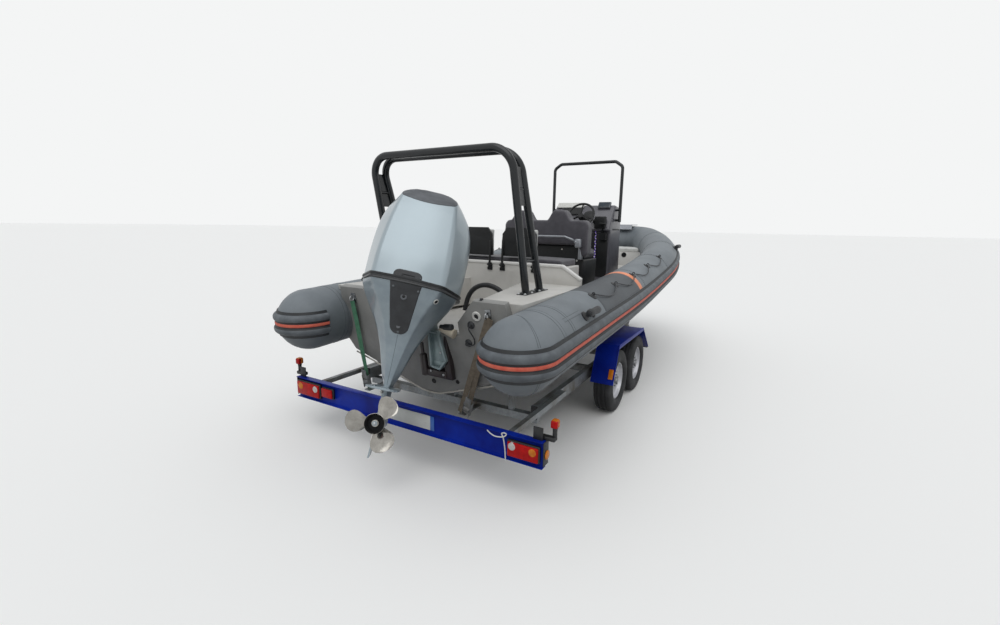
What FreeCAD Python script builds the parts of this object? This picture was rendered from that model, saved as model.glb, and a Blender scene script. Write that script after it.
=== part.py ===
# Rigid inflatable boat with its outboard, standing on a twin axle trailer.
# Millimetres. X forward to the bow, Y to port, Z up from the ground.
# Stations along X are given from the foot of the transom, and the last step moves the
# origin to the ground below the middle of the whole outfit.
import FreeCAD, Part
import math
import os
from FreeCAD import Placement, Rotation, Vector

# Whole outfit
ORIGIN_X = 2708.0         # from the transom's foot to the middle of the outfit's length
CLEAR = 0.3               # running or seating clearance between bodies
KISS = 0.5                # clearance of formed pieces round the inflated tubes

# Inflated tubes
TUBE_R = 255.0
TUBE_Y = 1009.0           # centre of the straight length
TUBE_AFT_X = -330.0       # where the rounded stern end starts
TUBE_AFT_Z = 1011.0
SHEER_X = 1200.0          # where the sheer starts to rise
TURN_X = 3200.0           # where the tubes start to turn in
SHEER_AFT = 2.58          # degrees
SHEER_BOW = 7.41
TURN_R = 4815.0
TURN_ANGLE = 28.0
BOW_R = (TUBE_Y - TURN_R * (1 - math.cos(math.radians(TURN_ANGLE)))) / math.cos(math.radians(TURN_ANGLE))
TURN_RUN = TURN_R * math.sin(math.radians(TURN_ANGLE)) + BOW_R * (1 - math.sin(math.radians(TURN_ANGLE)))
BOW_NOSE_X = TURN_X + TURN_RUN * math.cos(math.radians(SHEER_BOW))

# Hull, transom and decks
TRANSOM_RAKE = 14.04      # degrees from upright
TRANSOM_T = 60.0
TRANSOM_Z = 500.0         # height where the rake is measured
TRANSOM_X = 30.0          # aft face at that height
SOLE_T = 20.0
DECK_Z = 1290.0           # stern side decks
NOTCH_HALF = 380.0
NOTCH_Z = 1000.0
BULKHEAD_X = 1060.0
BULKHEAD_Z = 1468.0
BULKHEAD_T = 30.0
BULKHEAD_HALF = 690.0
BENCH_L = 440.0

# Arch
HOOP_R = 30.0
HOOP_BEND = 170.0
HOOP_TOP_X = 119.0
HOOP_TOP_Y = 669.0
HOOP_TOP_Z = 2362.0
HOOP_FOOT_Y = 686.0
HOOP_FOOT_X = 363.0
HOOP_PITCH = 249.0        # from the aft hoop's foot to the front hoop's foot
ARCH_FOOT_Z = 1296.0

# Helm seat, console and screen frame
SEAT_X = 2140.0
SEAT_HALF = 544.0
SEAT_TOP_Z = 1862.0
CONSOLE_X = 3240.0
CONSOLE_HALF = 430.0
FRAME_X = 3490.0
FRAME_HALF = 486.0
FRAME_TOP_Z = 2673.0
FRAME_R = 21.0
HELM_X = 3035.0
HELM_Y = -100.0
HELM_Z = 1956.0
HELM_R = 175.0
HELM_RAKE = 30.0

# Outboard, upright with its origin on the tilt axis
TILT_X = -35.0
TILT_Z = 1170.0
TILT = 22.5               # degrees up from upright, as parked
STEER = 33.0              # degrees, propeller to starboard, as parked
STEER_BACK = 170.0        # steering axis behind the tilt axis
SHAFT_Z = -886.0          # propeller shaft below the tilt axis
PROP_R = 197.0
HUB_R = 68.0

# Trailer
AXLE_X = 1570.0           # rear axle
AXLE_PITCH = 715.0
TYRE_R = 312.0
TYRE_W = 185.0
WHEEL_Y = 1053.5
RIM_R = 178.0
RAIL_Y = 880.0
RAIL_W = 50.0
RAIL_H = 100.0
RAIL_Z = 365.0            # underside of the side rails
RAIL_AFT_X = 180.0
RAIL_FWD_X = 3000.0
DRAWBAR_X = BOW_NOSE_X - 557.0    # where the side rails meet
COUPLING_X = BOW_NOSE_X + 553.0
WINCH_X = BOW_NOSE_X + 130.0
BOARD_X = -330.0          # aft face of the light board
BOARD_HALF = 1200.0
BOARD_Z = 292.0
BOARD_H = 181.0
BOARD_T = 30.0
GUARD_TOP_Z = 713.0
GUARD_OUT_Y = 1172.0
GUARD_W = 222.0
JOCKEY_X = BOW_NOSE_X + 53.0
JOCKEY_R = 110.0

nodes = {}


def vec(x, y, z):
    return Vector(float(x), float(y), float(z))


def box(x0, x1, y0, y1, z0, z1):
    return Part.makeBox(x1 - x0, y1 - y0, z1 - z0, vec(x0, y0, z0))


def face_of(points):
    return Part.Face(Part.makePolygon(points + points[:1]))


def prism_y(points, y0, y1):
    """Side profile (x, z) carried across the beam."""
    return face_of([vec(x, y0, z) for x, z in points]).extrude(vec(0, y1 - y0, 0))


def prism_x(points, x0, x1):
    """Cross profile (y, z) carried along the length."""
    return face_of([vec(x0, y, z) for y, z in points]).extrude(vec(x1 - x0, 0, 0))


def prism_z(points, z0, z1):
    """Plan profile (x, y) carried upwards."""
    return face_of([vec(x, y, z0) for x, y in points]).extrude(vec(0, 0, z1 - z0))


def rod(p, q, r):
    return Part.makeCylinder(r, (q - p).Length, p, q - p)


def bar(p, q, width, height):
    """Square section bar between two points, its width level."""
    run = q - p
    side = vec(0, 0, 1).cross(run)
    side.normalize()
    up = run.cross(side)
    up.normalize()
    a = side * (width / 2)
    b = up * (height / 2)
    return face_of([p - a - b, p + a - b, p + a + b, p - a + b]).extrude(run)


def fused(shapes):
    whole = shapes[0].multiFuse(shapes[1:]) if len(shapes) > 1 else shapes[0]
    return whole.removeSplitter()


def largest(shape):
    """The main solid of a cut, without the slivers beyond the cutter."""
    return max(shape.Solids, key=lambda s: s.Volume)


def mirrored(shape):
    return shape.mirror(vec(0, 0, 0), vec(0, 1, 0))


def both_sides(shape):
    return Part.makeCompound([shape, mirrored(shape)])


def bent_rod(points, r, bend):
    """Round tube through the points, with a tangent arc of one radius at each corner."""
    edges = []
    start = points[0]
    for before, corner, after in zip(points, points[1:], points[2:]):
        a = (before - corner).normalize()
        b = (after - corner).normalize()
        half = a.getAngle(b) / 2
        cut = bend / math.tan(half)
        middle = (a + b).normalize()
        centre = corner + middle * (bend / math.sin(half))
        p = corner + a * cut
        q = corner + b * cut
        edges.append(Part.LineSegment(start, p).toShape())
        edges.append(Part.Arc(p, centre - middle * bend, q).toShape())
        start = q
    edges.append(Part.LineSegment(start, points[-1]).toShape())
    ring = Part.Wire([Part.Circle(points[0], points[1] - points[0], r).toShape()])
    return Part.Wire(edges).makePipeShell([ring], True, False)


def carried(profile, start, runs):
    """Carry a flat profile along straight runs and arcs.

    The profile is drawn in the YZ plane at x = 0. Each run is (kind, length or radius, angle)."""
    here = start
    pieces = []
    for kind, size, angle in runs:
        face = profile.copy()
        face.Placement = here
        if kind == "straight":
            step = here.Rotation.multVec(vec(size, 0, 0))
            pieces.append(face.extrude(step))
            here = Placement(here.Base + step, here.Rotation)
        else:
            arm, axis = {"up": (vec(0, 0, size), vec(0, -1, 0)),
                         "inward": (vec(0, -size, 0), vec(0, 0, -1))}[kind]
            centre = here.multVec(arm)
            axis = here.Rotation.multVec(axis)
            pieces.append(face.revolve(centre, axis, angle))
            turn = Rotation(axis, angle)
            here = Placement(centre + turn.multVec(here.Base - centre), turn.multiply(here.Rotation))
    return fused(pieces)


# Tube centre line: straight, a long arc up at the sheer, then two arcs in to the bow
SHEER_R = (TURN_X - SHEER_X) / (math.sin(math.radians(SHEER_BOW)) - math.sin(math.radians(SHEER_AFT)))
STRAIGHT = (SHEER_X - TUBE_AFT_X) / math.cos(math.radians(SHEER_AFT))
TUBE_RUNS = [("straight", STRAIGHT, 0), ("up", SHEER_R, SHEER_BOW - SHEER_AFT),
             ("inward", TURN_R, TURN_ANGLE), ("inward", BOW_R, 90 - TURN_ANGLE)]
TUBE_START = Placement(vec(TUBE_AFT_X, TUBE_Y, TUBE_AFT_Z), Rotation(vec(0, -1, 0), SHEER_AFT))


def tube_centre(x):
    """Distance from the centre plane and height of the tube's centre at a station."""
    slope_aft = math.tan(math.radians(SHEER_AFT))
    slope_bow = math.tan(math.radians(SHEER_BOW))
    if x <= SHEER_X:
        return TUBE_Y, TUBE_AFT_Z + slope_aft * (x - TUBE_AFT_X)
    z_sheer = TUBE_AFT_Z + slope_aft * (SHEER_X - TUBE_AFT_X)
    a0 = math.radians(SHEER_AFT)
    if x <= TURN_X:
        a = math.asin(math.sin(a0) + (x - SHEER_X) / SHEER_R)
        return TUBE_Y, z_sheer + SHEER_R * (math.cos(a0) - math.cos(a))
    z_turn = z_sheer + SHEER_R * (math.cos(a0) - math.cos(math.radians(SHEER_BOW)))
    run = (x - TURN_X) / math.cos(math.radians(SHEER_BOW))
    z = z_turn + slope_bow * (x - TURN_X)
    if run <= TURN_R * math.sin(math.radians(TURN_ANGLE)):
        return TUBE_Y - TURN_R * (1 - math.sqrt(1 - (run / TURN_R) ** 2)), z
    knee = math.radians(TURN_ANGLE)
    s = min(1.0, math.sin(knee) + (run - TURN_R * math.sin(knee)) / BOW_R)
    return BOW_R * math.sqrt(1 - s * s), z


def disc(r):
    return Part.Face(Part.Wire([Part.Circle(vec(0, 0, 0), vec(1, 0, 0), r).toShape()]))


def tube_body(r):
    dome = Part.makeSphere(r, TUBE_START.Base)
    return fused([carried(disc(r), TUBE_START, TUBE_RUNS), dome])


tube_port = tube_body(TUBE_R)
tube_room = tube_body(TUBE_R + KISS)
TUBES_ROOM = both_sides(tube_room)
nodes["tube_port"] = tube_port
nodes["tube_starboard"] = mirrored(tube_port)

# Rub strake: a base strip with two ribs, round the stern end and forward to the bow
STRAKE_T = 7.0
STRAKE_HALF = 105.0
RIB_R = 26.0
RIB_Z = 52.0


def strake_profile():
    inner = TUBE_R + KISS
    half = math.asin(STRAKE_HALF / inner)
    arcs = []
    for r in (inner, inner + STRAKE_T):
        arcs.append([vec(0, r * math.cos(a), r * math.sin(a)) for a in (-half, 0, half)])
    (a0, am, a1), (b0, bm, b1) = arcs
    wire = Part.Wire([Part.Arc(a0, am, a1).toShape(), Part.LineSegment(a1, b1).toShape(),
                      Part.Arc(b1, bm, b0).toShape(), Part.LineSegment(b0, a0).toShape()])
    profile = Part.Face(wire)
    for z in (-RIB_Z, RIB_Z):
        a = math.asin(z / inner)
        spot = vec(0, inner * math.cos(a), z)
        rib = Part.Face(Part.Wire([Part.Circle(spot, vec(1, 0, 0), RIB_R).toShape()]))
        profile = profile.fuse(rib)
    return profile.cut(disc(inner)).removeSplitter().Faces[0]


def strake_body():
    profile = strake_profile()
    forward = carried(profile, TUBE_START, TUBE_RUNS)
    end = profile.copy()
    end.Placement = TUBE_START
    up = TUBE_START.Rotation.multVec(vec(0, 0, 1))
    aft = end.revolve(TUBE_START.Base, up, 178.0)
    return fused([forward, aft])


nodes["rub_strakes"] = both_sides(strake_body())

# Hull: columns are station, keel height, keel pad half width, chine half width,
# chine height and height of the cockpit sole's underside
HULL = [
    (-420, 441, 100, 800, 695, 950),
    (1500, 525, 100, 830, 785, 975),
    (3200, 605, 90, 820, 880, 1005),
    (4200, 705, 60, 730, 1020, 1090),
    (4950, 890, 35, 540, 1180, 1230),
    (5450, 1150, 20, 300, 1320, 1370),
    (5690, 1336, 10, 60, 1342, 1400),
]
FLANGE_IN = 90.0          # where the hull's side meets the tube, in from the tube's centre
FLANGE_DOWN = 150.0
SOLE_IN = 230.0           # edge of the sole, in from the tube's centre


def hull_section(row):
    x, keel, pad, chine, chine_z, sole = row
    tube_y, tube_z = tube_centre(x)
    edge_y = max(tube_y - SOLE_IN, 30.0)
    half = [(pad, keel), (chine, chine_z), (max(tube_y - FLANGE_IN, 45.0), tube_z - FLANGE_DOWN),
            (edge_y, sole)]
    ring = [vec(x, y, z) for y, z in half] + [vec(x, -y, z) for y, z in reversed(half)]
    return Part.makePolygon(ring + ring[:1])


def sole_section(row):
    x, keel, pad, chine, chine_z, sole = row
    edge_y = max(tube_centre(x)[0] - SOLE_IN, 30.0)
    ring = [vec(x, -edge_y, sole), vec(x, edge_y, sole), vec(x, edge_y, sole + SOLE_T),
            vec(x, -edge_y, sole + SOLE_T)]
    return Part.makePolygon(ring + ring[:1])


def transom_placed(shape):
    """From upright at x = 0 to the raked transom."""
    lean = Rotation(vec(0, 1, 0), -TRANSOM_RAKE)
    pivot = vec(0, 0, TRANSOM_Z)
    moved = shape.copy()
    moved.Placement = Placement(vec(TRANSOM_X, 0, 0) + pivot - lean.multVec(pivot), lean)
    return moved


def transom_x(z):
    """Aft face of the transom at a height."""
    return TRANSOM_X - (z - TRANSOM_Z) * math.tan(math.radians(TRANSOM_RAKE))


def slant(z):
    """Height above the ground to the length along the rake."""
    return TRANSOM_Z + (z - TRANSOM_Z) / math.cos(math.radians(TRANSOM_RAKE))


BEHIND = transom_placed(box(-1500, TRANSOM_T, -1500, 1500, -500, 3000))
hull = Part.makeLoft([hull_section(r) for r in HULL], True, True)
hull = hull.cut(BEHIND).cut(TUBES_ROOM)
nodes["hull_shell"] = largest(hull)
sole = Part.makeLoft([sole_section(r) for r in HULL[:5]], True, True)
sole = sole.cut(BEHIND).cut(TUBES_ROOM)
nodes["cockpit_sole"] = largest(sole)


def seated(shape):
    """A piece that stands on the sole between the tubes."""
    return largest(shape.cut([nodes["cockpit_sole"], nodes["hull_shell"], tube_room, mirrored(tube_room)]))


def sole_z(x):
    """Top of the sole at a station."""
    for a, b in zip(HULL, HULL[1:]):
        if x <= b[0]:
            return a[5] + (b[5] - a[5]) * (x - a[0]) / (b[0] - a[0]) + SOLE_T
    return HULL[-1][5] + SOLE_T


TRANSOM_HALF = [(100, 460), (800, 715), (880, 850), (800, DECK_Z), (540, DECK_Z),
                (NOTCH_HALF, 1110), (NOTCH_HALF, NOTCH_Z)]
outline = [(y, slant(z)) for y, z in TRANSOM_HALF]
outline = outline + [(-y, z) for y, z in reversed(outline)]
transom = transom_placed(prism_x(outline, 0, TRANSOM_T)).cut(TUBES_ROOM)
DRAIN_Y = -290.0
DRAIN_Z = 600.0
DRAIN_R = 13.0
drain = transom_placed(rod(vec(-100, DRAIN_Y, slant(DRAIN_Z)), vec(200, DRAIN_Y, slant(DRAIN_Z)), DRAIN_R))
transom = transom.cut(drain)
nodes["transom"] = largest(transom)

# Stern side decks: boxes from the transom to the bulkhead, their inner edge running in forward
SIDE_AFT_Y = 622.0
SIDE_FWD_Y = 300.0
side_plan = [(-400, SIDE_AFT_Y), (BULKHEAD_X, SIDE_FWD_Y), (BULKHEAD_X, 900), (-400, 900)]
side_deck = prism_z(side_plan, sole_z(-400) + 45, DECK_Z).cut(BEHIND).cut(tube_room)
side_deck = side_deck.cut(nodes["cockpit_sole"])
side_deck = largest(side_deck)
nodes["side_decks"] = both_sides(side_deck)

# Bulkhead across the stern, with chamfered upper corners
CHAMFER_Y = 880.0
CHAMFER_Z = 1360.0
bulkhead_half = [(CHAMFER_Y, sole_z(BULKHEAD_X) + 5), (CHAMFER_Y, CHAMFER_Z), (BULKHEAD_HALF, BULKHEAD_Z)]
bulkhead_ring = bulkhead_half + [(-y, z) for y, z in reversed(bulkhead_half)]
bulkhead = prism_x(bulkhead_ring, BULKHEAD_X, BULKHEAD_X + BULKHEAD_T).cut(TUBES_ROOM)
nodes["stern_bulkhead"] = largest(bulkhead.cut(nodes["cockpit_sole"]))

# Stern bench ahead of the bulkhead, its pad, and two back rests on legs
BENCH_Z = BULKHEAD_Z - 28
PAD_T = 60.0
bench = box(BULKHEAD_X + BULKHEAD_T, BULKHEAD_X + BENCH_L, -BULKHEAD_HALF, BULKHEAD_HALF,
            sole_z(BULKHEAD_X) - 15, BENCH_Z)
nodes["stern_bench"] = seated(bench)
bench_pad = box(BULKHEAD_X + 60, BULKHEAD_X + BENCH_L - 10, -BULKHEAD_HALF + 30, BULKHEAD_HALF - 30,
                BENCH_Z + CLEAR, BENCH_Z + PAD_T)
REST_HALF = 190.0
REST_Y = 240.0
REST_Z = (1525.0, 1795.0)
REST_LEG_R = 11.0
rests = []
pads = []
for y in (REST_Y, -REST_Y):
    rim = [(y - REST_HALF, REST_Z[0]), (y + REST_HALF, REST_Z[0]), (y + REST_HALF - 12, REST_Z[1] - 60),
           (y + REST_HALF - 60, REST_Z[1]), (y - REST_HALF + 60, REST_Z[1]),
           (y - REST_HALF + 12, REST_Z[1] - 60)]
    rest = [prism_x(rim, BULKHEAD_X + 5, BULKHEAD_X + 30)]
    inner = [(y + (a - y) * 0.94, z + (8 if z < REST_Z[1] - 90 else -8)) for a, z in rim]
    pads.append(prism_x(inner, BULKHEAD_X + 30 + CLEAR, BULKHEAD_X + 105))
    for side in (-1, 1):
        leg_y = y + side * (REST_HALF - 20)
        rest.append(box(BULKHEAD_X - 8, BULKHEAD_X, leg_y - 22, leg_y + 22,
                        BULKHEAD_Z - 62, BULKHEAD_Z - 12))
        rest.append(rod(vec(BULKHEAD_X - 14, leg_y, BULKHEAD_Z - 50),
                        vec(BULKHEAD_X + 2, leg_y, REST_Z[1] - 120), REST_LEG_R))
    rests.append(largest(fused(rest).cut(nodes["stern_bulkhead"])))
nodes["back_rests"] = Part.makeCompound(rests)
nodes["back_rest_pads"] = Part.makeCompound(pads)

# Arch: two hoops, foot plates, rungs between the legs and a lamp panel
aft_foot = vec(HOOP_FOOT_X, HOOP_FOOT_Y, ARCH_FOOT_Z)
aft_top = vec(HOOP_TOP_X, HOOP_TOP_Y, HOOP_TOP_Z)
fwd_foot = aft_foot + vec(HOOP_PITCH, 0, 0)
fwd_top = aft_top + vec(110, 0, -8)


def flipped(v):
    return vec(v.x, -v.y, v.z)


below_deck = box(HOOP_FOOT_X - 100, HOOP_FOOT_X + HOOP_PITCH + 100, -900, 900, DECK_Z - 100, DECK_Z + CLEAR)
hoops = [bent_rod([foot, top, flipped(top), flipped(foot)], HOOP_R, HOOP_BEND).cut(below_deck)
         for foot, top in ((aft_foot, aft_top), (fwd_foot, fwd_top))]
nodes["arch_hoops"] = Part.makeCompound(hoops)


def along(foot, top, z):
    return foot + (top - foot) * ((z - foot.z) / (top.z - foot.z))


arch_parts = []
for z, r in ((1545, 12), (2080, 12)):
    arch_parts.append(rod(along(aft_foot, aft_top, z), along(fwd_foot, fwd_top, z), r))
panel = prism_y([(along(aft_foot, aft_top, z).x + 8, z) for z in (1960, 2230)]
                + [(along(fwd_foot, fwd_top, z).x - 8, z) for z in (2230, 1960)],
                HOOP_TOP_Y + 3, HOOP_TOP_Y + 13)
arch_parts.append(panel)
foot_plate = box(HOOP_FOOT_X - 75, HOOP_FOOT_X + HOOP_PITCH + 75, HOOP_FOOT_Y - 42, HOOP_FOOT_Y + 42,
                 DECK_Z, ARCH_FOOT_Z)
fittings = fused(arch_parts).cut(hoops)
plate = foot_plate.cut(TUBES_ROOM).cut(hoops)
nodes["arch_fittings"] = both_sides(Part.makeCompound(fittings.Solids + plate.Solids))

# Helm seat: locker base, cushion, backrest with two humps, grab rail
SEAT_BASE_Z = 1440.0
seat_floor = sole_z(SEAT_X) - 15
base_profile = [(SEAT_X + 75, seat_floor), (SEAT_X + 500, seat_floor), (SEAT_X + 530, SEAT_BASE_Z),
                (SEAT_X + 75, SEAT_BASE_Z)]
seat_base = seated(prism_y(base_profile, -470, 470))
helm_cushion = box(SEAT_X + 165, SEAT_X + 545, -480, 480, SEAT_BASE_Z + CLEAR, SEAT_BASE_Z + 110)
HUMP_H = 105.0
HUMP_Y = 250.0
HUMP_HALF = 115.0
back_top = [(SEAT_HALF, SEAT_TOP_Z - 45), (SEAT_HALF - 40, SEAT_TOP_Z)]
for y in (HUMP_Y, -HUMP_Y):
    back_top += [(y + HUMP_HALF + 35, SEAT_TOP_Z), (y + HUMP_HALF - 20, SEAT_TOP_Z + HUMP_H * 0.8),
                 (y + HUMP_HALF - 50, SEAT_TOP_Z + HUMP_H), (y - HUMP_HALF + 50, SEAT_TOP_Z + HUMP_H),
                 (y - HUMP_HALF + 20, SEAT_TOP_Z + HUMP_H * 0.8), (y - HUMP_HALF - 35, SEAT_TOP_Z)]
back_top += [(-SEAT_HALF + 40, SEAT_TOP_Z), (-SEAT_HALF, SEAT_TOP_Z - 45)]
back_low = [(-SEAT_HALF, 1500), (-SEAT_HALF + 70, SEAT_BASE_Z + 20), (-440, SEAT_BASE_Z + 160),
            (440, SEAT_BASE_Z + 160), (SEAT_HALF - 70, SEAT_BASE_Z + 20), (SEAT_HALF, 1500)]
backrest = prism_x(back_top + back_low, SEAT_X, SEAT_X + 145)
nodes["helm_backrest"] = backrest
back_plate = box(SEAT_X + 75, SEAT_X + 140, -435, 435, SEAT_BASE_Z - 1, SEAT_BASE_Z + 160 - CLEAR)
nodes["helm_seat_base"] = fused([seat_base, back_plate])
RAIL_GRIP_Z = 1700.0
rail_points = [vec(SEAT_X, -400, RAIL_GRIP_Z - 60), vec(SEAT_X - 70, -380, RAIL_GRIP_Z - 30),
               vec(SEAT_X - 75, -290, RAIL_GRIP_Z), vec(SEAT_X - 75, 290, RAIL_GRIP_Z),
               vec(SEAT_X - 70, 380, RAIL_GRIP_Z - 30), vec(SEAT_X, 400, RAIL_GRIP_Z - 60)]
nodes["helm_grab_rail"] = bent_rod(rail_points, 12.5, 30).cut(backrest)

# Console with a sloping dash, screen frame, helm wheel and throttle
console_floor = sole_z(CONSOLE_X) - 15
DASH = ((90.0, 1940.0), (230.0, 2105.0))      # foot and head of the sloping dash, ahead of CONSOLE_X
console_side = [(60, console_floor), (60, 1740), (0, 1770), DASH[0], DASH[1], (450, 2080), (510, 1900),
                (550, console_floor)]
console_side = [(CONSOLE_X + x, z) for x, z in console_side]
console = seated(prism_y(console_side, -CONSOLE_HALF, CONSOLE_HALF))
nodes["console"] = console
DISPLAY_T = 16.0
dash_run = math.hypot(DASH[1][0] - DASH[0][0], DASH[1][1] - DASH[0][1])
dash_along = ((DASH[1][0] - DASH[0][0]) / dash_run, (DASH[1][1] - DASH[0][1]) / dash_run)


def on_dash(share, lift):
    """Point (x, z) part of the way up the dash, lifted off it."""
    x = CONSOLE_X + DASH[0][0] + dash_along[0] * dash_run * share - dash_along[1] * lift
    return x, DASH[0][1] + dash_along[1] * dash_run * share + dash_along[0] * lift


display_side = [on_dash(0.2, 0), on_dash(0.8, 0), on_dash(0.8, DISPLAY_T), on_dash(0.2, DISPLAY_T)]
display = prism_y(display_side, 20, 300)
display = display.cut(console)
post = vec(FRAME_X, FRAME_HALF, 1880)
hoop = [post, vec(FRAME_X, FRAME_HALF, FRAME_TOP_Z - 65), vec(FRAME_X, FRAME_HALF - 95, FRAME_TOP_Z)]
frame_parts = [bent_rod(hoop + [flipped(p) for p in reversed(hoop)], FRAME_R, 60)]
for z in (1905, 2040):
    for side in (1, -1):
        frame_parts.append(rod(vec(FRAME_X, side * CONSOLE_HALF, z), vec(FRAME_X, side * FRAME_HALF, z), 16))
nodes["screen_frame"] = fused(frame_parts)

helm_tilt = Rotation(vec(0, 1, 0), HELM_RAKE)
HELM_PLACE = Placement(vec(HELM_X, HELM_Y, HELM_Z), helm_tilt)
rim = Part.makeTorus(HELM_R, 14, vec(0, 0, 0), vec(1, 0, 0))
hub = Part.makeCylinder(34, 40, vec(-12, 0, 0), vec(1, 0, 0))
spokes = []
for angle in (90, 210, 330):
    a = math.radians(angle)
    spokes.append(bar(vec(0, 20 * math.cos(a), 20 * math.sin(a)),
                      vec(0, HELM_R * math.cos(a), HELM_R * math.sin(a)), 30, 9))
wheel = fused([rim, hub] + spokes)
wheel.Placement = HELM_PLACE
nodes["helm_wheel"] = wheel
column = Part.makeCylinder(42, 300, vec(28 + CLEAR, 0, 0), vec(1, 0, 0))
column.Placement = HELM_PLACE
column = column.cut(console)
column = max(column.Solids, key=lambda solid: -solid.CenterOfMass.x)
throttle_y = -CONSOLE_HALF + 85
throttle_base = box(CONSOLE_X - 15, CONSOLE_X + 60, throttle_y - 45, throttle_y + 45, 1640, 1735)
lever = bar(vec(CONSOLE_X + 15, throttle_y, 1700), vec(CONSOLE_X - 25, throttle_y, 1850), 22, 14)
throttle = fused([throttle_base, lever]).cut(console)
nodes["helm_controls"] = Part.makeCompound([column, display, throttle])

# Bow locker with a step plate over the bow tube
BOW_AFT_X = 4700.0
bow_plan = [(BOW_AFT_X, -520), (5330, -330), (5330, 330), (BOW_AFT_X, 520)]
bow = prism_z(bow_plan, 1180, 1420).cut(TUBES_ROOM).cut(nodes["cockpit_sole"]).cut(nodes["hull_shell"])
nodes["bow_locker"] = largest(bow)
bow_cushion = prism_z([(BOW_AFT_X + 20, -480), (5300, -300), (5300, 300), (BOW_AFT_X + 20, 480)],
                      1420 + CLEAR, 1480).cut(TUBES_ROOM)
nodes["seat_cushions"] = Part.makeCompound([bench_pad, helm_cushion, bow_cushion])
bow_top = tube_centre(BOW_NOSE_X)[1] + TUBE_R
step = prism_y([(BOW_NOSE_X - 260, bow_top - 60), (BOW_NOSE_X - 240, bow_top + 10),
                (BOW_NOSE_X + 120, bow_top + 14), (BOW_NOSE_X + 120, bow_top + 26),
                (BOW_NOSE_X - 250, bow_top + 22), (BOW_NOSE_X - 275, bow_top - 60)], -150, 150)
pad = box(BOW_NOSE_X - 90, BOW_NOSE_X + 60, -70, 70, bow_top - 60, bow_top + 12)
nodes["bow_step"] = largest(fused([step, pad]).cut(TUBES_ROOM))

# Things glued on the tubes: carrying handles, lifeline eyelets, and the lifelines
HANDLE_L = 190.0


def on_tube(x, degrees, lift):
    """Point at an angle above the tube's outer side, lifted off its skin, with the way out."""
    y, z = tube_centre(x)
    a = math.radians(degrees)
    out = vec(0, math.cos(a), math.sin(a))
    return vec(x, y, z) + out * (TUBE_R + lift), out


def handle(x, degrees):
    base, out = on_tube(x, degrees, -6)
    spots = []
    for side in (-1, 1):
        spot = base + vec(side * (HANDLE_L / 2 - 20), 0, 0)
        spots.append(Part.makeCylinder(30, 22, spot, out))
        spots.append(rod(spot + out * 8, spot + out * 58, 13))
    grip = rod(base + vec(-HANDLE_L / 2, 0, 0) + out * 60, base + vec(HANDLE_L / 2, 0, 0) + out * 60, 21)
    return fused(spots + [grip])


LINE_R = 5.0
EYELET_X = (650.0, 1250.0, 1850.0, 2450.0, 3050.0)
EYELET_ANGLE = 62.0
fittings = [handle(x, a) for x, a in ((330.0, 36.0), (4150.0, 36.0))]
for x in EYELET_X:
    spot, out = on_tube(x, EYELET_ANGLE, -4)
    patch = Part.makeCylinder(38, 7, spot, out)
    eye = rod(spot, spot + out * 24, 9)
    fittings.append(fused([patch, eye]))
fittings = [f.cut(tube_room) for f in fittings]
line_route = []
LINE_DROP = ((0, 62, 18), (110, 52, 15), (230, 45, 13), (370, 45, 13), (490, 52, 15))
for x in EYELET_X[:-1]:
    for step_x, degrees, lift in LINE_DROP:
        line_route.append(on_tube(x + step_x, degrees, lift)[0])
line_route.append(on_tube(EYELET_X[-1], EYELET_ANGLE, 18)[0])


def cord(route, r):
    """Tube along straight runs joined by tangent arcs, each as large as its two runs allow."""
    edges = []
    start = route[0]
    for before, corner, after in zip(route, route[1:], route[2:]):
        a = before - corner
        b = after - corner
        run = min(a.Length, b.Length)
        turn = math.pi - a.getAngle(b)
        cut = 0.45 * run
        radius = cut / math.tan(turn / 2)
        a.normalize()
        b.normalize()
        middle = (a + b).normalize()
        centre = corner + middle * (radius / math.cos(turn / 2))
        p = corner + a * cut
        q = corner + b * cut
        edges.append(Part.LineSegment(start, p).toShape())
        edges.append(Part.Arc(p, centre - middle * radius, q).toShape())
        start = q
        print("cord radius", round(radius, 1), "turn", round(math.degrees(turn), 1))
    edges.append(Part.LineSegment(start, route[-1]).toShape())
    ring = Part.Wire([Part.Circle(route[0], route[1] - route[0], r).toShape()])
    path = Part.Wire(edges)
    tube = path.makePipeShell([ring], True, False)
    print("cord length", round(path.Length, 1), "volume ratio",
          round(tube.Volume / (math.pi * r * r * path.Length), 4))
    return tube


lifeline = cord(line_route, LINE_R)
nodes["lifeline_port"] = lifeline
nodes["lifeline_starboard"] = mirrored(lifeline)
fittings = [f.cut(lifeline) for f in fittings]
nodes["tube_fittings"] = both_sides(Part.makeCompound(fittings))

# Transom fittings: strap eyes and a black cap
EYE_Y = 660.0
EYE_Z = 1205.0
eyes = []
for spot in (vec(0, y, slant(EYE_Z)) for y in (EYE_Y, -EYE_Y)):
    plate = box(-8, -CLEAR, spot.y - 22, spot.y + 22, spot.z - 40, spot.z + 40)
    ring = Part.makeTorus(20, 5, vec(-28, spot.y, spot.z), vec(0, 1, 0))
    eyes.append(transom_placed(fused([plate, ring])))
nodes["transom_eyes"] = Part.makeCompound(eyes)

# Rigging hose that comes up out of the side deck and over into the well
HOSE_R = 24.0
hose_points = [vec(640, -392, 1150), vec(640, -330, 1225), vec(640, -250, 1275), vec(640, -150, 1295),
               vec(640, -60, 1275), vec(640, 10, 1225), vec(640, 60, 1140), vec(640, 80, 1040)]
hose = bent_rod(hose_points, HOSE_R, 90)
hose = hose.cut(nodes["side_decks"]).cut(nodes["cockpit_sole"])
nodes["rigging_hose"] = largest(hose)

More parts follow.
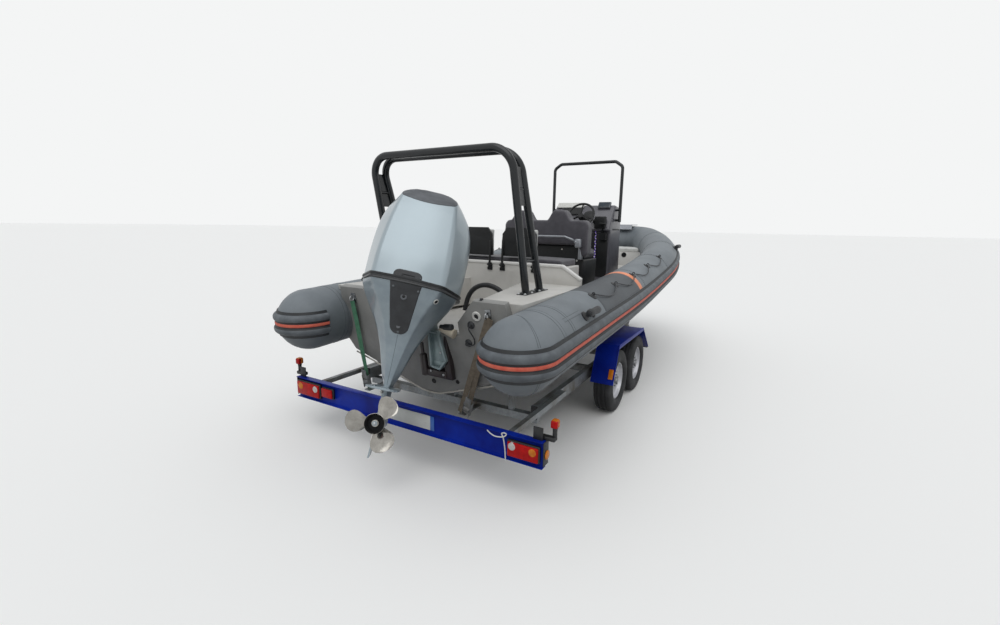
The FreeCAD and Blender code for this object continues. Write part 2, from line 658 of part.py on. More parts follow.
# Outboard, drawn upright about the tilt axis, then steered and tilted as parked
steer_turn = Placement(vec(0, 0, 0), Rotation(vec(0, 0, 1), STEER), vec(-STEER_BACK, 0, 0))
tilt_turn = Placement(vec(0, 0, 0), Rotation(vec(0, 1, 0), TILT))
hang = Placement(vec(TILT_X, 0, TILT_Z), Rotation())


def placed(shape, place):
    moved = shape.copy()
    moved.Placement = place.multiply(moved.Placement)
    return moved


def on_transom(shape):
    return placed(shape, hang)


def tilted(shape):
    return placed(shape, hang.multiply(tilt_turn))


def steered(shape):
    return placed(shape, hang.multiply(tilt_turn).multiply(steer_turn))


REAR_CROWN = 0.2          # how far the rear face bows out, per unit of its half width


def rounded_plan(z, front, waist, rear, half_front, half_waist, half_rear, r_front, r_waist, r_rear):
    """Plan outline at a height: front, widest station and bowed rear, each with its corner radius."""
    ridge = rear + REAR_CROWN * half_rear
    corners = [(front, -half_front, r_front), (front, half_front, r_front), (waist, half_waist, r_waist),
               (ridge, half_rear, r_rear), (rear, 0, 3 * half_rear), (ridge, -half_rear, r_rear),
               (waist, -half_waist, r_waist)]
    edges = []
    ends = []
    for i, (x, y, r) in enumerate(corners):
        here = vec(x, y, z)
        before = vec(corners[i - 1][0], corners[i - 1][1], z)
        after = vec(corners[(i + 1) % 7][0], corners[(i + 1) % 7][1], z)
        a = (before - here).normalize()
        b = (after - here).normalize()
        half = a.getAngle(b) / 2
        cut = r / math.tan(half)
        middle = (a + b).normalize()
        centre = here + middle * (r / math.sin(half))
        ends.append((here + a * cut, centre - middle * r, here + b * cut))
    for i, (p, m, q) in enumerate(ends):
        edges.append(Part.Arc(p, m, q).toShape())
        edges.append(Part.LineSegment(q, ends[(i + 1) % 7][0]).toShape())
    return Part.Wire(edges)


# Columns: height, stations of the front, the widest part and the rear, half width at each of
# the three, corner radius at each of the three
COWL = [
    (95, 62, -300, -630, 250, 374, 246, 110, 260, 60),
    (240, 60, -300, -630, 262, 376, 244, 120, 260, 60),
    (380, 40, -300, -614, 258, 378, 236, 120, 250, 60),
    (520, -20, -310, -590, 240, 368, 222, 110, 220, 56),
    (620, -95, -320, -566, 205, 332, 208, 100, 170, 50),
    (690, -160, -340, -545, 172, 268, 200, 90, 140, 44),
    (745, -215, -355, -528, 130, 212, 180, 70, 110, 40),
    (790, -290, -375, -480, 84, 140, 120, 45, 70, 30),
    (808, -340, -390, -440, 50, 80, 66, 25, 40, 18),
]
CAP_TAIL = (-548.0, 652.0)     # lowest point of the cap's seam at the rear, and how the seam climbs
CAP_SLOPE = 41.0
CAP_RISE = 16.0                # bow of the cap above its seam, over CAP_CHORD
CAP_CHORD = 250.0
BAND = [
    (60, 66, -300, -638, 254, 380, 250, 112, 262, 62),
    (95, 66, -300, -638, 254, 380, 250, 112, 262, 62),
]
LOWER = [
    (-640, -225, -285, -354, 30, 34, 22, 12, 25, 9),
    (-560, -230, -290, -358, 55, 66, 30, 24, 36, 12),
    (-450, -235, -300, -376, 80, 105, 48, 34, 48, 16),
    (-330, -240, -305, -410, 110, 152, 74, 40, 54, 24),
    (-200, -243, -310, -474, 155, 222, 112, 46, 68, 34),
    (-80, -245, -315, -554, 205, 310, 165, 50, 84, 45),
    (10, -245, -325, -602, 240, 362, 216, 50, 104, 52),
    (60, -245, -330, -626, 250, 374, 242, 50, 110, 56),
]
PAN = [
    (30, 45, -120, -310, 150, 225, 200, 60, 60, 10),
    (60, 60, -120, -310, 210, 290, 260, 90, 80, 10),
]


def body_of(table):
    return Part.makeLoft([rounded_plan(*row) for row in table], True, True)


# The dark cap is what lies behind a sloping seam of the cowl's top, under a bow across the seam
cowl = body_of(COWL)
seam_turn = Placement(vec(CAP_TAIL[0], 0, CAP_TAIL[1]), Rotation(vec(0, 1, 0), -CAP_SLOPE))
behind_seam = placed(box(-200, 600, -400, 400, 0, 400), seam_turn)
bow_r = (CAP_CHORD ** 2 / 4 + CAP_RISE ** 2) / (2 * CAP_RISE)
bow_axis = vec(CAP_CHORD / 2, -400, CAP_RISE - bow_r)
bow = placed(Part.makeCylinder(bow_r, 800, bow_axis, vec(0, 1, 0)), seam_turn)
cap = cowl.common(behind_seam).common(bow)
cowl = cowl.cut(behind_seam)
nodes["cowl_upper"] = steered(cowl)

# Black apron on the rear face: below the seal it tapers to a round foot, above it is a grip tab
APRON_T = 5.0
APRON_HALF = 110.0
APRON_FOOT = (66.0, -236.0)    # half width just above the round foot, and its height
GRIP_HALF = 98.0
GRIP_TOP = 142.0
foot_y, foot_z = APRON_FOOT
apron_outline = [(-APRON_HALF, BAND[0][0]), (APRON_HALF, BAND[0][0]), (foot_y, foot_z),
                 (foot_y * 0.7, foot_z - 28), (0, foot_z - 38), (-foot_y * 0.7, foot_z - 28),
                 (-foot_y, foot_z)]
grip_outline = [(-GRIP_HALF, BAND[1][0]), (-GRIP_HALF, GRIP_TOP - 40), (-GRIP_HALF + 30, GRIP_TOP),
                (GRIP_HALF - 30, GRIP_TOP), (GRIP_HALF, GRIP_TOP - 40), (GRIP_HALF, BAND[1][0])]


def raised(table):
    """The table's body with its rear face moved out by the apron's thickness."""
    return body_of([row[:3] + (row[3] - APRON_T,) + row[4:] for row in table])


def rear_zone(outline):
    return prism_x(outline, -800, -300)


apron = raised(LOWER).common(rear_zone(apron_outline)).cut(body_of(LOWER))
grip = raised(COWL).common(rear_zone(grip_outline)).cut(cowl)
nodes["cowl_trim"] = steered(Part.makeCompound([largest(cap), body_of(BAND), largest(apron), largest(grip)]))
lower = fused([body_of(LOWER), body_of(PAN)])
PIN_R = 20.0
PIN_ARM_Z = (-346.0, 10.0)     # the steering pin's two arms on the leg
PIN_ARM_X = -270.0
steer_pin = fused([Part.makeCylinder(PIN_R, 380, vec(-STEER_BACK, 0, PIN_ARM_Z[0])),
                   Part.makeCylinder(40, 10, vec(-STEER_BACK, 0, PIN_ARM_Z[1])),
                   box(PIN_ARM_X, -STEER_BACK, -40, 40, PIN_ARM_Z[1], PIN_ARM_Z[1] + 10),
                   Part.makeCylinder(34, 12, vec(-STEER_BACK, 0, PIN_ARM_Z[0])),
                   box(PIN_ARM_X, -STEER_BACK, -34, 34, PIN_ARM_Z[0], PIN_ARM_Z[0] + 12)])
nodes["cowl_lower"] = steered(fused([lower, steer_pin]))

# Leg with the anti-ventilation plate, gearcase and skeg
TORPEDO = [(-128, 0), (-150, 24), (-200, 46), (-290, 60), (-372, 58), (-372, 0), (-128, 0)]
gearcase = face_of([vec(x, 0, SHAFT_Z + r) for x, r in TORPEDO[:-1]])
torpedo = gearcase.revolve(vec(0, 0, SHAFT_Z), vec(1, 0, 0), 360)
strut = Part.makeLoft([rounded_plan(SHAFT_Z + 20, -160, -240, -372, 15, 24, 12, 10, 30, 7),
                       rounded_plan(-640, -205, -280, -372, 28, 36, 18, 12, 30, 9)], True, True)
AV_PLATE_Z = -651.0
plate_plan = [(-190, 40), (-300, 96), (-540, 106), (-582, 60), (-582, -60), (-540, -106), (-300, -96),
              (-190, -40)]
av_plate = prism_z(plate_plan, AV_PLATE_Z - 5, AV_PLATE_Z + 7)
skeg = prism_y([(-185, SHAFT_Z - 40), (-372, SHAFT_Z - 50), (-392, -1124), (-330, -1110)], -5, 5)
anode = box(-512, -452, -4, 4, AV_PLATE_Z - 28, AV_PLATE_Z)
shaft = Part.makeCylinder(9 - CLEAR, 96, vec(-372 - 90, 0, SHAFT_Z), vec(1, 0, 0))
nut = Part.makeCylinder(17, 14, vec(-372 - 94, 0, SHAFT_Z), vec(1, 0, 0))
nodes["gearcase"] = steered(fused([torpedo, strut, av_plate, skeg, anode, shaft, nut]).cut(lower))

# Propeller: flared hub with three raked blades
prop_front = -372.0 - 3.0
hub_outline = [vec(prop_front, 0, 52), vec(prop_front - 60, 0, 60), vec(prop_front - 88, 0, 62),
               vec(prop_front - 103, 0, HUB_R), vec(prop_front - 103, 0, HUB_R - 5),
               vec(prop_front - 40, 0, 53), vec(prop_front - 40, 0, 24), vec(prop_front - 75, 0, 24),
               vec(prop_front - 75, 0, 9), vec(prop_front, 0, 9)]
hub_face = Part.Face(Part.makePolygon(hub_outline + hub_outline[:1]))
hub = hub_face.revolve(vec(0, 0, 0), vec(1, 0, 0), 360)
# Blade sections: columns are radius, half chord, pitch angle, thickness, rake aft
BLADE = [(46, 52, 56, 10, 0), (95, 80, 38, 7.5, 8), (140, 86, 27, 6, 18), (178, 62, 22, 4.5, 26),
         (PROP_R, 24, 20, 3, 31)]


def blade_section(r, half_chord, pitch, thick, rake):
    """Flat lens across the blade at one radius, set at its pitch from the plane of rotation."""
    a = math.radians(pitch)
    chord = vec(math.sin(a), math.cos(a), 0)
    across = vec(math.cos(a), -math.sin(a), 0)
    middle = vec(prop_front - 52 - rake, 0, r)
    ring = []
    for c, t in ((-1, -0.2), (0, -0.5), (1, -0.2), (1, 0.2), (0, 0.5), (-1, 0.2)):
        ring.append(middle + chord * (c * half_chord) + across * (t * thick))
    return Part.makePolygon(ring + ring[:1])


blade = Part.makeLoft([blade_section(*row) for row in BLADE], True, True)
blades = []
for k in range(3):
    turned = blade.copy()
    turned.rotate(vec(0, 0, 0), vec(1, 0, 0), 120.0 * k + 25.0)
    blades.append(turned)
core = Part.makeCylinder(56, 400, vec(prop_front - 300, 0, 0), vec(1, 0, 0))
propeller = fused([hub] + [b.cut(core) for b in blades])
propeller.translate(vec(0, 0, SHAFT_Z))
nodes["propeller"] = steered(propeller)

# Swivel bracket, carried on the tilt tube
SWIVEL_HALF = 88.0
swivel_side = [(-26, 22), (22, 18), (30, -20), (-60, -180), (-110, -330), (-205, -330), (-212, -20),
               (-205, 8), (-120, 8)]
swivel = prism_y(swivel_side, -SWIVEL_HALF, SWIVEL_HALF)
waist = [box(-400, -100, y0, y0 + 350, -400, -40) for y0 in (-400, 50)]
neck = [box(-400, -140, y0, y0 + 350, -41, 100) for y0 in (-400, 50)]
swivel = swivel.cut(waist + neck)
swivel = swivel.cut(Part.makeCylinder(18 + CLEAR, 400, vec(0, -200, 0), vec(0, 1, 0)))
swivel = swivel.cut(Part.makeCylinder(PIN_R + CLEAR, 500, vec(-STEER_BACK, 0, -450)))
nodes["swivel_bracket"] = tilted(swivel)

# Clamp bracket on the transom with the tilt tube through it
lip_x = transom_x(NOTCH_Z) - TILT_X
lip_z = NOTCH_Z - TILT_Z
clamp_side = [(transom_x(TILT_Z - 420) - TILT_X - CLEAR, -420), (lip_x - CLEAR, lip_z),
              (lip_x - CLEAR, lip_z + CLEAR), (lip_x + TRANSOM_T + 20, lip_z + CLEAR),
              (lip_x + TRANSOM_T + 10, lip_z + 40), (22, 12), (0, 20), (-22, 12), (-60, -150), (-30, -420)]
clamps = []
for y0 in (SWIVEL_HALF + 6, -SWIVEL_HALF - 6 - 24):
    clamps.append(prism_y(clamp_side, y0, y0 + 24))
tilt_tube = Part.makeCylinder(18, 2 * (SWIVEL_HALF + 30 + 14), vec(0, -SWIVEL_HALF - 44, 0), vec(0, 1, 0))
cross = box(-40, 40, -SWIVEL_HALF - 8, SWIVEL_HALF + 8, -418, -390)
clamp = fused(clamps + [tilt_tube, cross])
clamp = on_transom(clamp).cut(nodes["transom"])
nodes["clamp_bracket"] = largest(clamp)

# Trailer frame: side rails that run in to the drawbar, cross members, tail brackets
RAIL_TOP = RAIL_Z + RAIL_H
rails = []
for side in (1, -1):
    y0 = side * RAIL_Y - RAIL_W / 2
    rails.append(box(RAIL_AFT_X, RAIL_FWD_X, y0, y0 + RAIL_W, RAIL_Z, RAIL_TOP))
    rails.append(bar(vec(RAIL_FWD_X - 10, side * RAIL_Y, RAIL_Z + RAIL_H / 2),
                     vec(DRAWBAR_X, side * 60, RAIL_Z + RAIL_H / 2), RAIL_W, RAIL_H))
drawbar = box(DRAWBAR_X - 900, COUPLING_X - 120, -40, 40, RAIL_Z + 10, RAIL_TOP - 10)
CROSS_X = (230.0, 2850.0, 3900.0)
CROSS_W = 60.0
cross_members = []
for x in CROSS_X:
    half = RAIL_Y if x < RAIL_FWD_X else 520.0
    cross_members.append(box(x, x + CROSS_W, -half, half, RAIL_Z - 60, RAIL_Z))
tails = []
for side in (1, -1):
    y0 = side * (RAIL_Y + 55) - 20
    tails.append(box(BOARD_X + BOARD_T, 620, y0, y0 + 40, RAIL_Z + 62, RAIL_TOP))
    tails.append(box(560, 620, min(side * (RAIL_Y + 25), y0), max(side * (RAIL_Y + 25), y0 + 40),
                     RAIL_Z + 62, RAIL_TOP))
LUG_X = -10.0
LUG_T = 8.0
LUG_Y = (-330.0, 700.0)   # lashing lugs on the aft cross member
lugs = [box(LUG_X, CROSS_X[0], y - 30, y + 30, RAIL_Z - 30, RAIL_Z - 30 + LUG_T) for y in LUG_Y]
nodes["trailer_frame"] = fused(rails + [drawbar] + tails)
nodes["cross_members"] = Part.makeCompound([fused(cross_members[:1] + lugs)] + cross_members[1:])

# Light board: a folded channel with its lips turned aft, lamps, plate and marker stalks
LIP = 28.0
board_side = [(BOARD_X, BOARD_Z), (BOARD_X + BOARD_T, BOARD_Z), (BOARD_X + BOARD_T, BOARD_Z + BOARD_H),
              (BOARD_X - LIP, BOARD_Z + BOARD_H), (BOARD_X - LIP, BOARD_Z + BOARD_H - 4),
              (BOARD_X, BOARD_Z + BOARD_H - 4)]
board = prism_y(board_side, -BOARD_HALF, BOARD_HALF)
lower_lip = box(BOARD_X - LIP, BOARD_X, -BOARD_HALF, BOARD_HALF, BOARD_Z, BOARD_Z + 4)
nodes["light_board"] = fused([board, lower_lip])
LAMP_L = 215.0
LAMP_H = 100.0
lamps = []
for side in (1, -1):
    y0 = side * (BOARD_HALF - 20) - (LAMP_L if side > 0 else 0)
    lamps.append(box(BOARD_X - 42, BOARD_X, y0, y0 + LAMP_L, BOARD_Z + 38, BOARD_Z + 38 + LAMP_H))
nodes["number_plate"] = box(BOARD_X - 4, BOARD_X, -320, 200, BOARD_Z + 34, BOARD_Z + 144)
for side in (1, -1):
    y = side * (BOARD_HALF + 8)
    stalk = rod(vec(BOARD_X + 110, y, BOARD_Z + 130), vec(BOARD_X + 110, y, BOARD_Z + 235), 11)
    lamp = rod(vec(BOARD_X + 110, y, BOARD_Z + 235), vec(BOARD_X + 110, y, BOARD_Z + 300), 21)
    arm = box(BOARD_X + 20, BOARD_X + 121, y - 11, y + 11, BOARD_Z + 118, BOARD_Z + 140)
    lamps.append(fused([stalk, lamp, arm]).cut(nodes["light_board"]))
nodes["trailer_lamps"] = Part.makeCompound(lamps)

# Rubber suspension axles: square beam under the rails, trailing arms and stub spindles
SPINDLE_R = 22.0
BEAM = 64.0
BEAM_AHEAD = 150.0         # beam ahead of the wheel centres
ARM_T = 14.0
ARM_W = 56.0
beam_z = RAIL_Z - BEAM / 2
arm_y = RAIL_Y + RAIL_W / 2 + 1
axles = []
for k in range(2):
    x = AXLE_X + k * AXLE_PITCH
    pieces = [bar(vec(x + BEAM_AHEAD, -arm_y, beam_z), vec(x + BEAM_AHEAD, arm_y, beam_z), BEAM, BEAM)]
    for side in (1, -1):
        hub_out = vec(x, side * (WHEEL_Y + 42), TYRE_R)
        pieces.append(bar(vec(x + BEAM_AHEAD + 18, side * arm_y, beam_z),
                          vec(x - ARM_T, side * arm_y, TYRE_R), ARM_T, ARM_W))
        pieces.append(rod(vec(x, side * (arm_y - 6), TYRE_R), hub_out, SPINDLE_R))
    axles.append(fused(pieces))
nodes["axles"] = Part.makeCompound([a.cut(nodes["trailer_frame"]) for a in axles])

# Mudguards: folded plate over both wheels, rolled outer skirt and a stay from the rail
GUARD_T = 4.0
guard_side = [(1240, 365), (1395, GUARD_TOP_Z), (2325, GUARD_TOP_Z), (2640, 430)]


def folded(points, t):
    """Folded plate: a line of (x, z) points with a thickness on its right hand side."""
    inner = []
    for i, (x, z) in enumerate(points):
        turns = []
        for a, b in zip(points[max(i - 1, 0):i + 1], points[max(i, 1):i + 2]):
            run = math.hypot(b[0] - a[0], b[1] - a[1])
            turns.append(((b[1] - a[1]) / run, -(b[0] - a[0]) / run))
        nx = sum(n[0] for n in turns)
        nz = sum(n[1] for n in turns)
        scale = t * len(turns) / (nx * nx + nz * nz)
        inner.append((x + nx * scale, z + nz * scale))
    return points + inner[::-1]


GUARD_STAY_X = (1905.0, 1965.0)
GUARD_STAY_T = 6.0
SKIRT_H = 30.0
y_out = GUARD_OUT_Y
y_in = GUARD_OUT_Y - GUARD_W
rail_out = RAIL_Y + RAIL_W / 2
stay_out = rail_out + 39
stay_foot = RAIL_TOP - 24
x0, x1 = GUARD_STAY_X
under_top = GUARD_TOP_Z - GUARD_T / 2
skirt_side = [(1397, under_top), (2323, under_top), (2338, GUARD_TOP_Z - SKIRT_H),
              (1385, GUARD_TOP_Z - SKIRT_H)]
guard = fused([prism_y(folded(guard_side, GUARD_T), y_in, y_out),
               prism_y(skirt_side, y_out - GUARD_T, y_out),
               box(x0, x1, rail_out, stay_out, stay_foot, stay_foot + GUARD_STAY_T),
               box(x0, x1, stay_out - GUARD_STAY_T, stay_out, stay_foot, GUARD_TOP_Z),
               box(x0, x1, stay_out - GUARD_STAY_T, y_in + 10, GUARD_TOP_Z - GUARD_STAY_T, under_top)])
nodes["mudguards"] = both_sides(guard)


def ring_profile(points, x, y):
    face = face_of([vec(x, y + a, TYRE_R + r) for a, r in points])
    return face.revolve(vec(x, y, TYRE_R), vec(0, 1, 0), 360)


# Outlines of tyre and rim: columns are distance outward from the wheel's middle and radius
half_w = TYRE_W / 2
TYRE_SIDE = [(62, RIM_R), (half_w, RIM_R + 38), (half_w, RIM_R + 72), (half_w - 16, TYRE_R - 8),
             (half_w - 30, TYRE_R)]
tyre_outline = [(-a, r) for a, r in TYRE_SIDE] + TYRE_SIDE[::-1]
bore_r = SPINDLE_R + CLEAR
rim_outline = [(-66, RIM_R - 14), (-66, RIM_R - CLEAR), (66, RIM_R - CLEAR), (66, RIM_R - 14),
               (30, RIM_R - 22), (34, 60), (44, 30), (44, bore_r), (20, bore_r), (22, 62),
               (16, RIM_R - 26), (-40, RIM_R - 26)]
RIM_HOLES = 8
RIM_HOLE_R = 20.0
RIM_HOLE_RING = 112.0
WHEELS = [("rear_port", 0, 1), ("rear_starboard", 0, -1), ("front_port", 1, 1), ("front_starboard", 1, -1)]
for name, k, side in WHEELS:
    x = AXLE_X + k * AXLE_PITCH
    tyre = ring_profile(tyre_outline, x, WHEEL_Y)
    rim_body = ring_profile(rim_outline, x, WHEEL_Y)
    holes = []
    for h in range(RIM_HOLES):
        a = 2 * math.pi * h / RIM_HOLES
        spot = vec(x + RIM_HOLE_RING * math.cos(a), WHEEL_Y - 20, TYRE_R + RIM_HOLE_RING * math.sin(a))
        holes.append(Part.makeCylinder(RIM_HOLE_R, 90, spot, vec(0, 1, 0)))
    rim_body = rim_body.cut(Part.makeCompound(holes))
    if side < 0:
        tyre = mirrored(tyre)
        rim_body = mirrored(rim_body)
    nodes["tyre_" + name] = tyre
    nodes["rim_" + name] = rim_body

# Rollers under the keel and the chines, winch post, coupling head and jockey wheel
ROLLER_R = 42.0


def keel_z(x):
    for a, b in zip(HULL, HULL[1:]):
        if x <= b[0]:
            return a[1] + (b[1] - a[1]) * (x - a[0]) / (b[0] - a[0])
    return HULL[-1][1]


ROLLER_PIN_R = 9.0
rollers = []
brackets = []
for x in CROSS_X:
    mid = vec(x + CROSS_W / 2, 0, keel_z(x + CROSS_W / 2) - ROLLER_R - CLEAR)
    across = vec(0, 1, 0)
    roller = rod(mid - across * 85, mid + across * 85, ROLLER_R)
    rollers.append(roller.cut(rod(mid - across * 90, mid + across * 90, ROLLER_PIN_R)))
    bracket = [rod(mid - across * 100, mid + across * 100, ROLLER_PIN_R - CLEAR)]
    for y0 in (-96, 88):
        bracket.append(box(mid.x - 22, mid.x + 22, y0, y0 + 8, RAIL_Z, mid.z + 22))
    brackets.append(fused(bracket))
CHINE_X = 260.0
CHINE_Y = 640.0
for x in (CHINE_X, 2880.0):
    aft, fwd = (HULL[0], HULL[1]) if x < HULL[1][0] else (HULL[1], HULL[2])
    t = (x - aft[0]) / (fwd[0] - aft[0])
    keel, pad_half, chine, chine_z = [aft[i] + (fwd[i] - aft[i]) * t for i in (1, 2, 3, 4)]
    bottom = keel + (CHINE_Y - pad_half) / (chine - pad_half) * (chine_z - keel)
    slope = math.atan((chine_z - keel) / (chine - pad_half))
    down = vec(0, math.sin(slope), -math.cos(slope))
    centre = vec(x, CHINE_Y, bottom) + down * (ROLLER_R + 0.6)
    axle = vec(0, math.cos(slope), math.sin(slope))
    pad = rod(centre - axle * 70, centre + axle * 70, ROLLER_R)
    post = box(x - 20, x + 20, CHINE_Y - 20, CHINE_Y + 20, RAIL_Z, centre.z - ROLLER_R - 8)
    below = centre + down * (ROLLER_R + 10)
    yoke = bar(below - axle * 84, below + axle * 84, 40, 8)
    cheeks = [bar(below + down * 2 + axle * s * 80, centre - down * 14 + axle * s * 80, 36, 7)
              for s in (-1, 1)]
    stand = fused([post, yoke] + cheeks).cut(pad)
    rollers += [pad, mirrored(pad)]
    brackets += [stand, mirrored(stand)]
nodes["hull_rollers"] = Part.makeCompound(rollers)
nodes["roller_brackets"] = Part.makeCompound(brackets)

BOW_STOP_Z = 1120.0
DRUM = vec(WINCH_X + 130, 0, 1060)
DRUM_HALF = 70.0
BOW_STOP_R = 40.0
BOW_STOP_X = WINCH_X - 90
POST_TOP_Z = 1190.0
BRACE_TOP_Z = 900.0
stop_arm_z = BOW_STOP_Z - BOW_STOP_R / 2
winch_post = fused([bar(vec(WINCH_X - 60, 0, RAIL_TOP - 10), vec(WINCH_X + 30, 0, POST_TOP_Z), 80, 60),
                    bar(vec(WINCH_X - 420, 0, RAIL_TOP - 12), vec(WINCH_X - 10, 0, BRACE_TOP_Z), 40, 40),
                    bar(vec(BOW_STOP_X - 2, 0, stop_arm_z), vec(WINCH_X + 10, 0, stop_arm_z), 50, 30),
                    rod(vec(BOW_STOP_X, -60, BOW_STOP_Z), vec(BOW_STOP_X, 60, BOW_STOP_Z),
                        BOW_STOP_R)])
nodes["winch_post"] = winch_post.cut(nodes["trailer_frame"])
drum = [rod(DRUM - vec(0, DRUM_HALF, 0), DRUM + vec(0, DRUM_HALF, 0), 45),
        rod(DRUM - vec(0, DRUM_HALF + 40, 0), DRUM + vec(0, DRUM_HALF + 45, 0), 12)]
for y0 in (-DRUM_HALF - 6, DRUM_HALF):
    drum.append(rod(vec(DRUM.x, y0, DRUM.z), vec(DRUM.x, y0 + 6, DRUM.z), 75))
for y0 in (-DRUM_HALF - 14, DRUM_HALF + 8):
    drum.append(box(WINCH_X + 40, WINCH_X + 190, y0, y0 + 6, DRUM.z - 60, DRUM.z + 70))
crank_end = DRUM + vec(110, DRUM_HALF + 44, 160)
drum += [bar(DRUM + vec(0, DRUM_HALF + 44, 0), crank_end, 26, 8),
         rod(crank_end, crank_end + vec(0, 86, 0), 14),
         box(WINCH_X + 20, WINCH_X + 60, -DRUM_HALF - 14, DRUM_HALF + 14, DRUM.z - 30, DRUM.z + 40)]
nodes["winch"] = fused(drum).cut(winch_post)

head = fused([box(COUPLING_X - 330, COUPLING_X - 60, -46, 46, RAIL_Z + 4, RAIL_TOP - 4),
              Part.makeCylinder(48, 78, vec(COUPLING_X - 30, 0, RAIL_Z - 2)),
              box(COUPLING_X - 100, COUPLING_X - 20, -36, 36, RAIL_Z + 20, RAIL_Z + 76),
              bar(vec(COUPLING_X - 60, 0, RAIL_Z + 86), vec(COUPLING_X - 260, 0, RAIL_TOP + 62), 40, 14)])
BALL_R = 25.5
socket = Part.makeSphere(BALL_R, vec(COUPLING_X - 30, 0, RAIL_Z + 18))
mouth = Part.makeCylinder(BALL_R, 24, vec(COUPLING_X - 30, 0, RAIL_Z - 6))
head = head.cut(fused([socket, mouth])).cut(nodes["trailer_frame"])
nodes["coupling_head"] = largest(head)

JOCKEY_Y = -95.0
JOCKEY_LEG_R = 24.0
JOCKEY_AXLE_R = 9.0
JOCKEY_FORK_Z = JOCKEY_R + 125     # underside of the fork's crown
JOCKEY_CROWN_T = 8.0
JOCKEY_CHEEK_Y = 40.0              # inner face of each fork cheek
JOCKEY_CHEEK_T = 6.0
JOCKEY_STROKE = 180.0
JOCKEY_LEG_TOP = RAIL_TOP + 120
SLEEVE_T = 5.0
SLEEVE_TOP = JOCKEY_LEG_TOP + JOCKEY_STROKE + 30
SLEEVE_FOOT = JOCKEY_FORK_Z + JOCKEY_CROWN_T + JOCKEY_STROKE + 6
jockey_at = vec(JOCKEY_X, JOCKEY_Y, 0)


def jockey_rod(z0, z1, radius, along=0.0):
    return rod(jockey_at + vec(along, 0, z0), jockey_at + vec(along, 0, z1), radius)


sleeve = fused([jockey_rod(SLEEVE_FOOT, SLEEVE_TOP, JOCKEY_LEG_R + CLEAR + SLEEVE_T),
                box(JOCKEY_X - 50, JOCKEY_X + 50, JOCKEY_Y, -40, SLEEVE_FOOT + 4, RAIL_TOP - 4)])
sleeve = sleeve.cut(jockey_rod(SLEEVE_FOOT - 1, SLEEVE_TOP - 12, JOCKEY_LEG_R + CLEAR))
CRANK_Z = SLEEVE_TOP + 14
CRANK_REACH = -120.0
CRANK_GRIP_R = 11.0
crank = fused([jockey_rod(SLEEVE_TOP, CRANK_Z, JOCKEY_AXLE_R),
               bar(jockey_at + vec(20, 0, CRANK_Z), jockey_at + vec(CRANK_REACH, 0, CRANK_Z), 22, 7),
               jockey_rod(CRANK_Z, CRANK_Z + 90, CRANK_GRIP_R, CRANK_REACH + 12)])
nodes["jockey_sleeve"] = fused([sleeve, crank])
cheek_out = JOCKEY_CHEEK_Y + JOCKEY_CHEEK_T
axle_end = vec(0, cheek_out + 4, 0)
axle_at = jockey_at + vec(0, 0, JOCKEY_R)
fork = [jockey_rod(JOCKEY_FORK_Z, JOCKEY_LEG_TOP, JOCKEY_LEG_R),
        box(JOCKEY_X - 28, JOCKEY_X + 28, JOCKEY_Y - cheek_out, JOCKEY_Y + cheek_out,
            JOCKEY_FORK_Z, JOCKEY_FORK_Z + JOCKEY_CROWN_T),
        rod(axle_at - axle_end, axle_at + axle_end, JOCKEY_AXLE_R)]
for y0 in (JOCKEY_Y - cheek_out, JOCKEY_Y + JOCKEY_CHEEK_Y):
    fork.append(box(JOCKEY_X - 18, JOCKEY_X + 18, y0, y0 + JOCKEY_CHEEK_T,
                    JOCKEY_R - 20, JOCKEY_FORK_Z + JOCKEY_CROWN_T - 3))
nodes["jockey_leg"] = fused(fork)
# Half outline of the solid tyre and its hub: columns are distance from the middle and radius
JOCKEY_SIDE = [(12, JOCKEY_R), (24, JOCKEY_R - 4), (32, 80), (26, 60), (30, 40), (30, JOCKEY_AXLE_R + CLEAR)]
jockey_outline = [(-a, r) for a, r in reversed(JOCKEY_SIDE)] + JOCKEY_SIDE
jockey_face = face_of([vec(JOCKEY_X, JOCKEY_Y + a, JOCKEY_R + r) for a, r in jockey_outline])
nodes["jockey_wheel"] = jockey_face.revolve(axle_at, vec(0, 1, 0), 360)

# Lashing straps from the transom eyes to the lugs on the frame
straps = []
for eye_y, lug_y in zip((-EYE_Y, EYE_Y), LUG_Y):
    top = transom_placed(Part.Vertex(vec(-28, eye_y, slant(EYE_Z) - 18))).Point
    foot = vec(LUG_X + 30, lug_y, RAIL_Z - 30 + LUG_T - 1)
    strap = bar(top, foot, 48, 3).cut([nodes["transom_eyes"], nodes["cross_members"]])
    straps.append(largest(strap))
nodes["lashing_straps"] = Part.makeCompound(straps)

os.makedirs("parts", exist_ok=True)
for name, shape in nodes.items():
    moved = shape.copy()
    moved.translate(vec(-ORIGIN_X, 0, 0))
    moved.exportStep("parts/" + name + ".step")
    flaw = "" if moved.isValid() else " INVALID"
    b = moved.BoundBox
    print(f"{name}: {len(moved.Solids)} solids, x {b.XMin:.0f} {b.XMax:.0f}, y {b.YMin:.0f} {b.YMax:.0f},",
          f"z {b.ZMin:.0f} {b.ZMax:.0f}{flaw}")
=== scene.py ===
import math
import bmesh
import bpy
from mathutils import Matrix, Vector


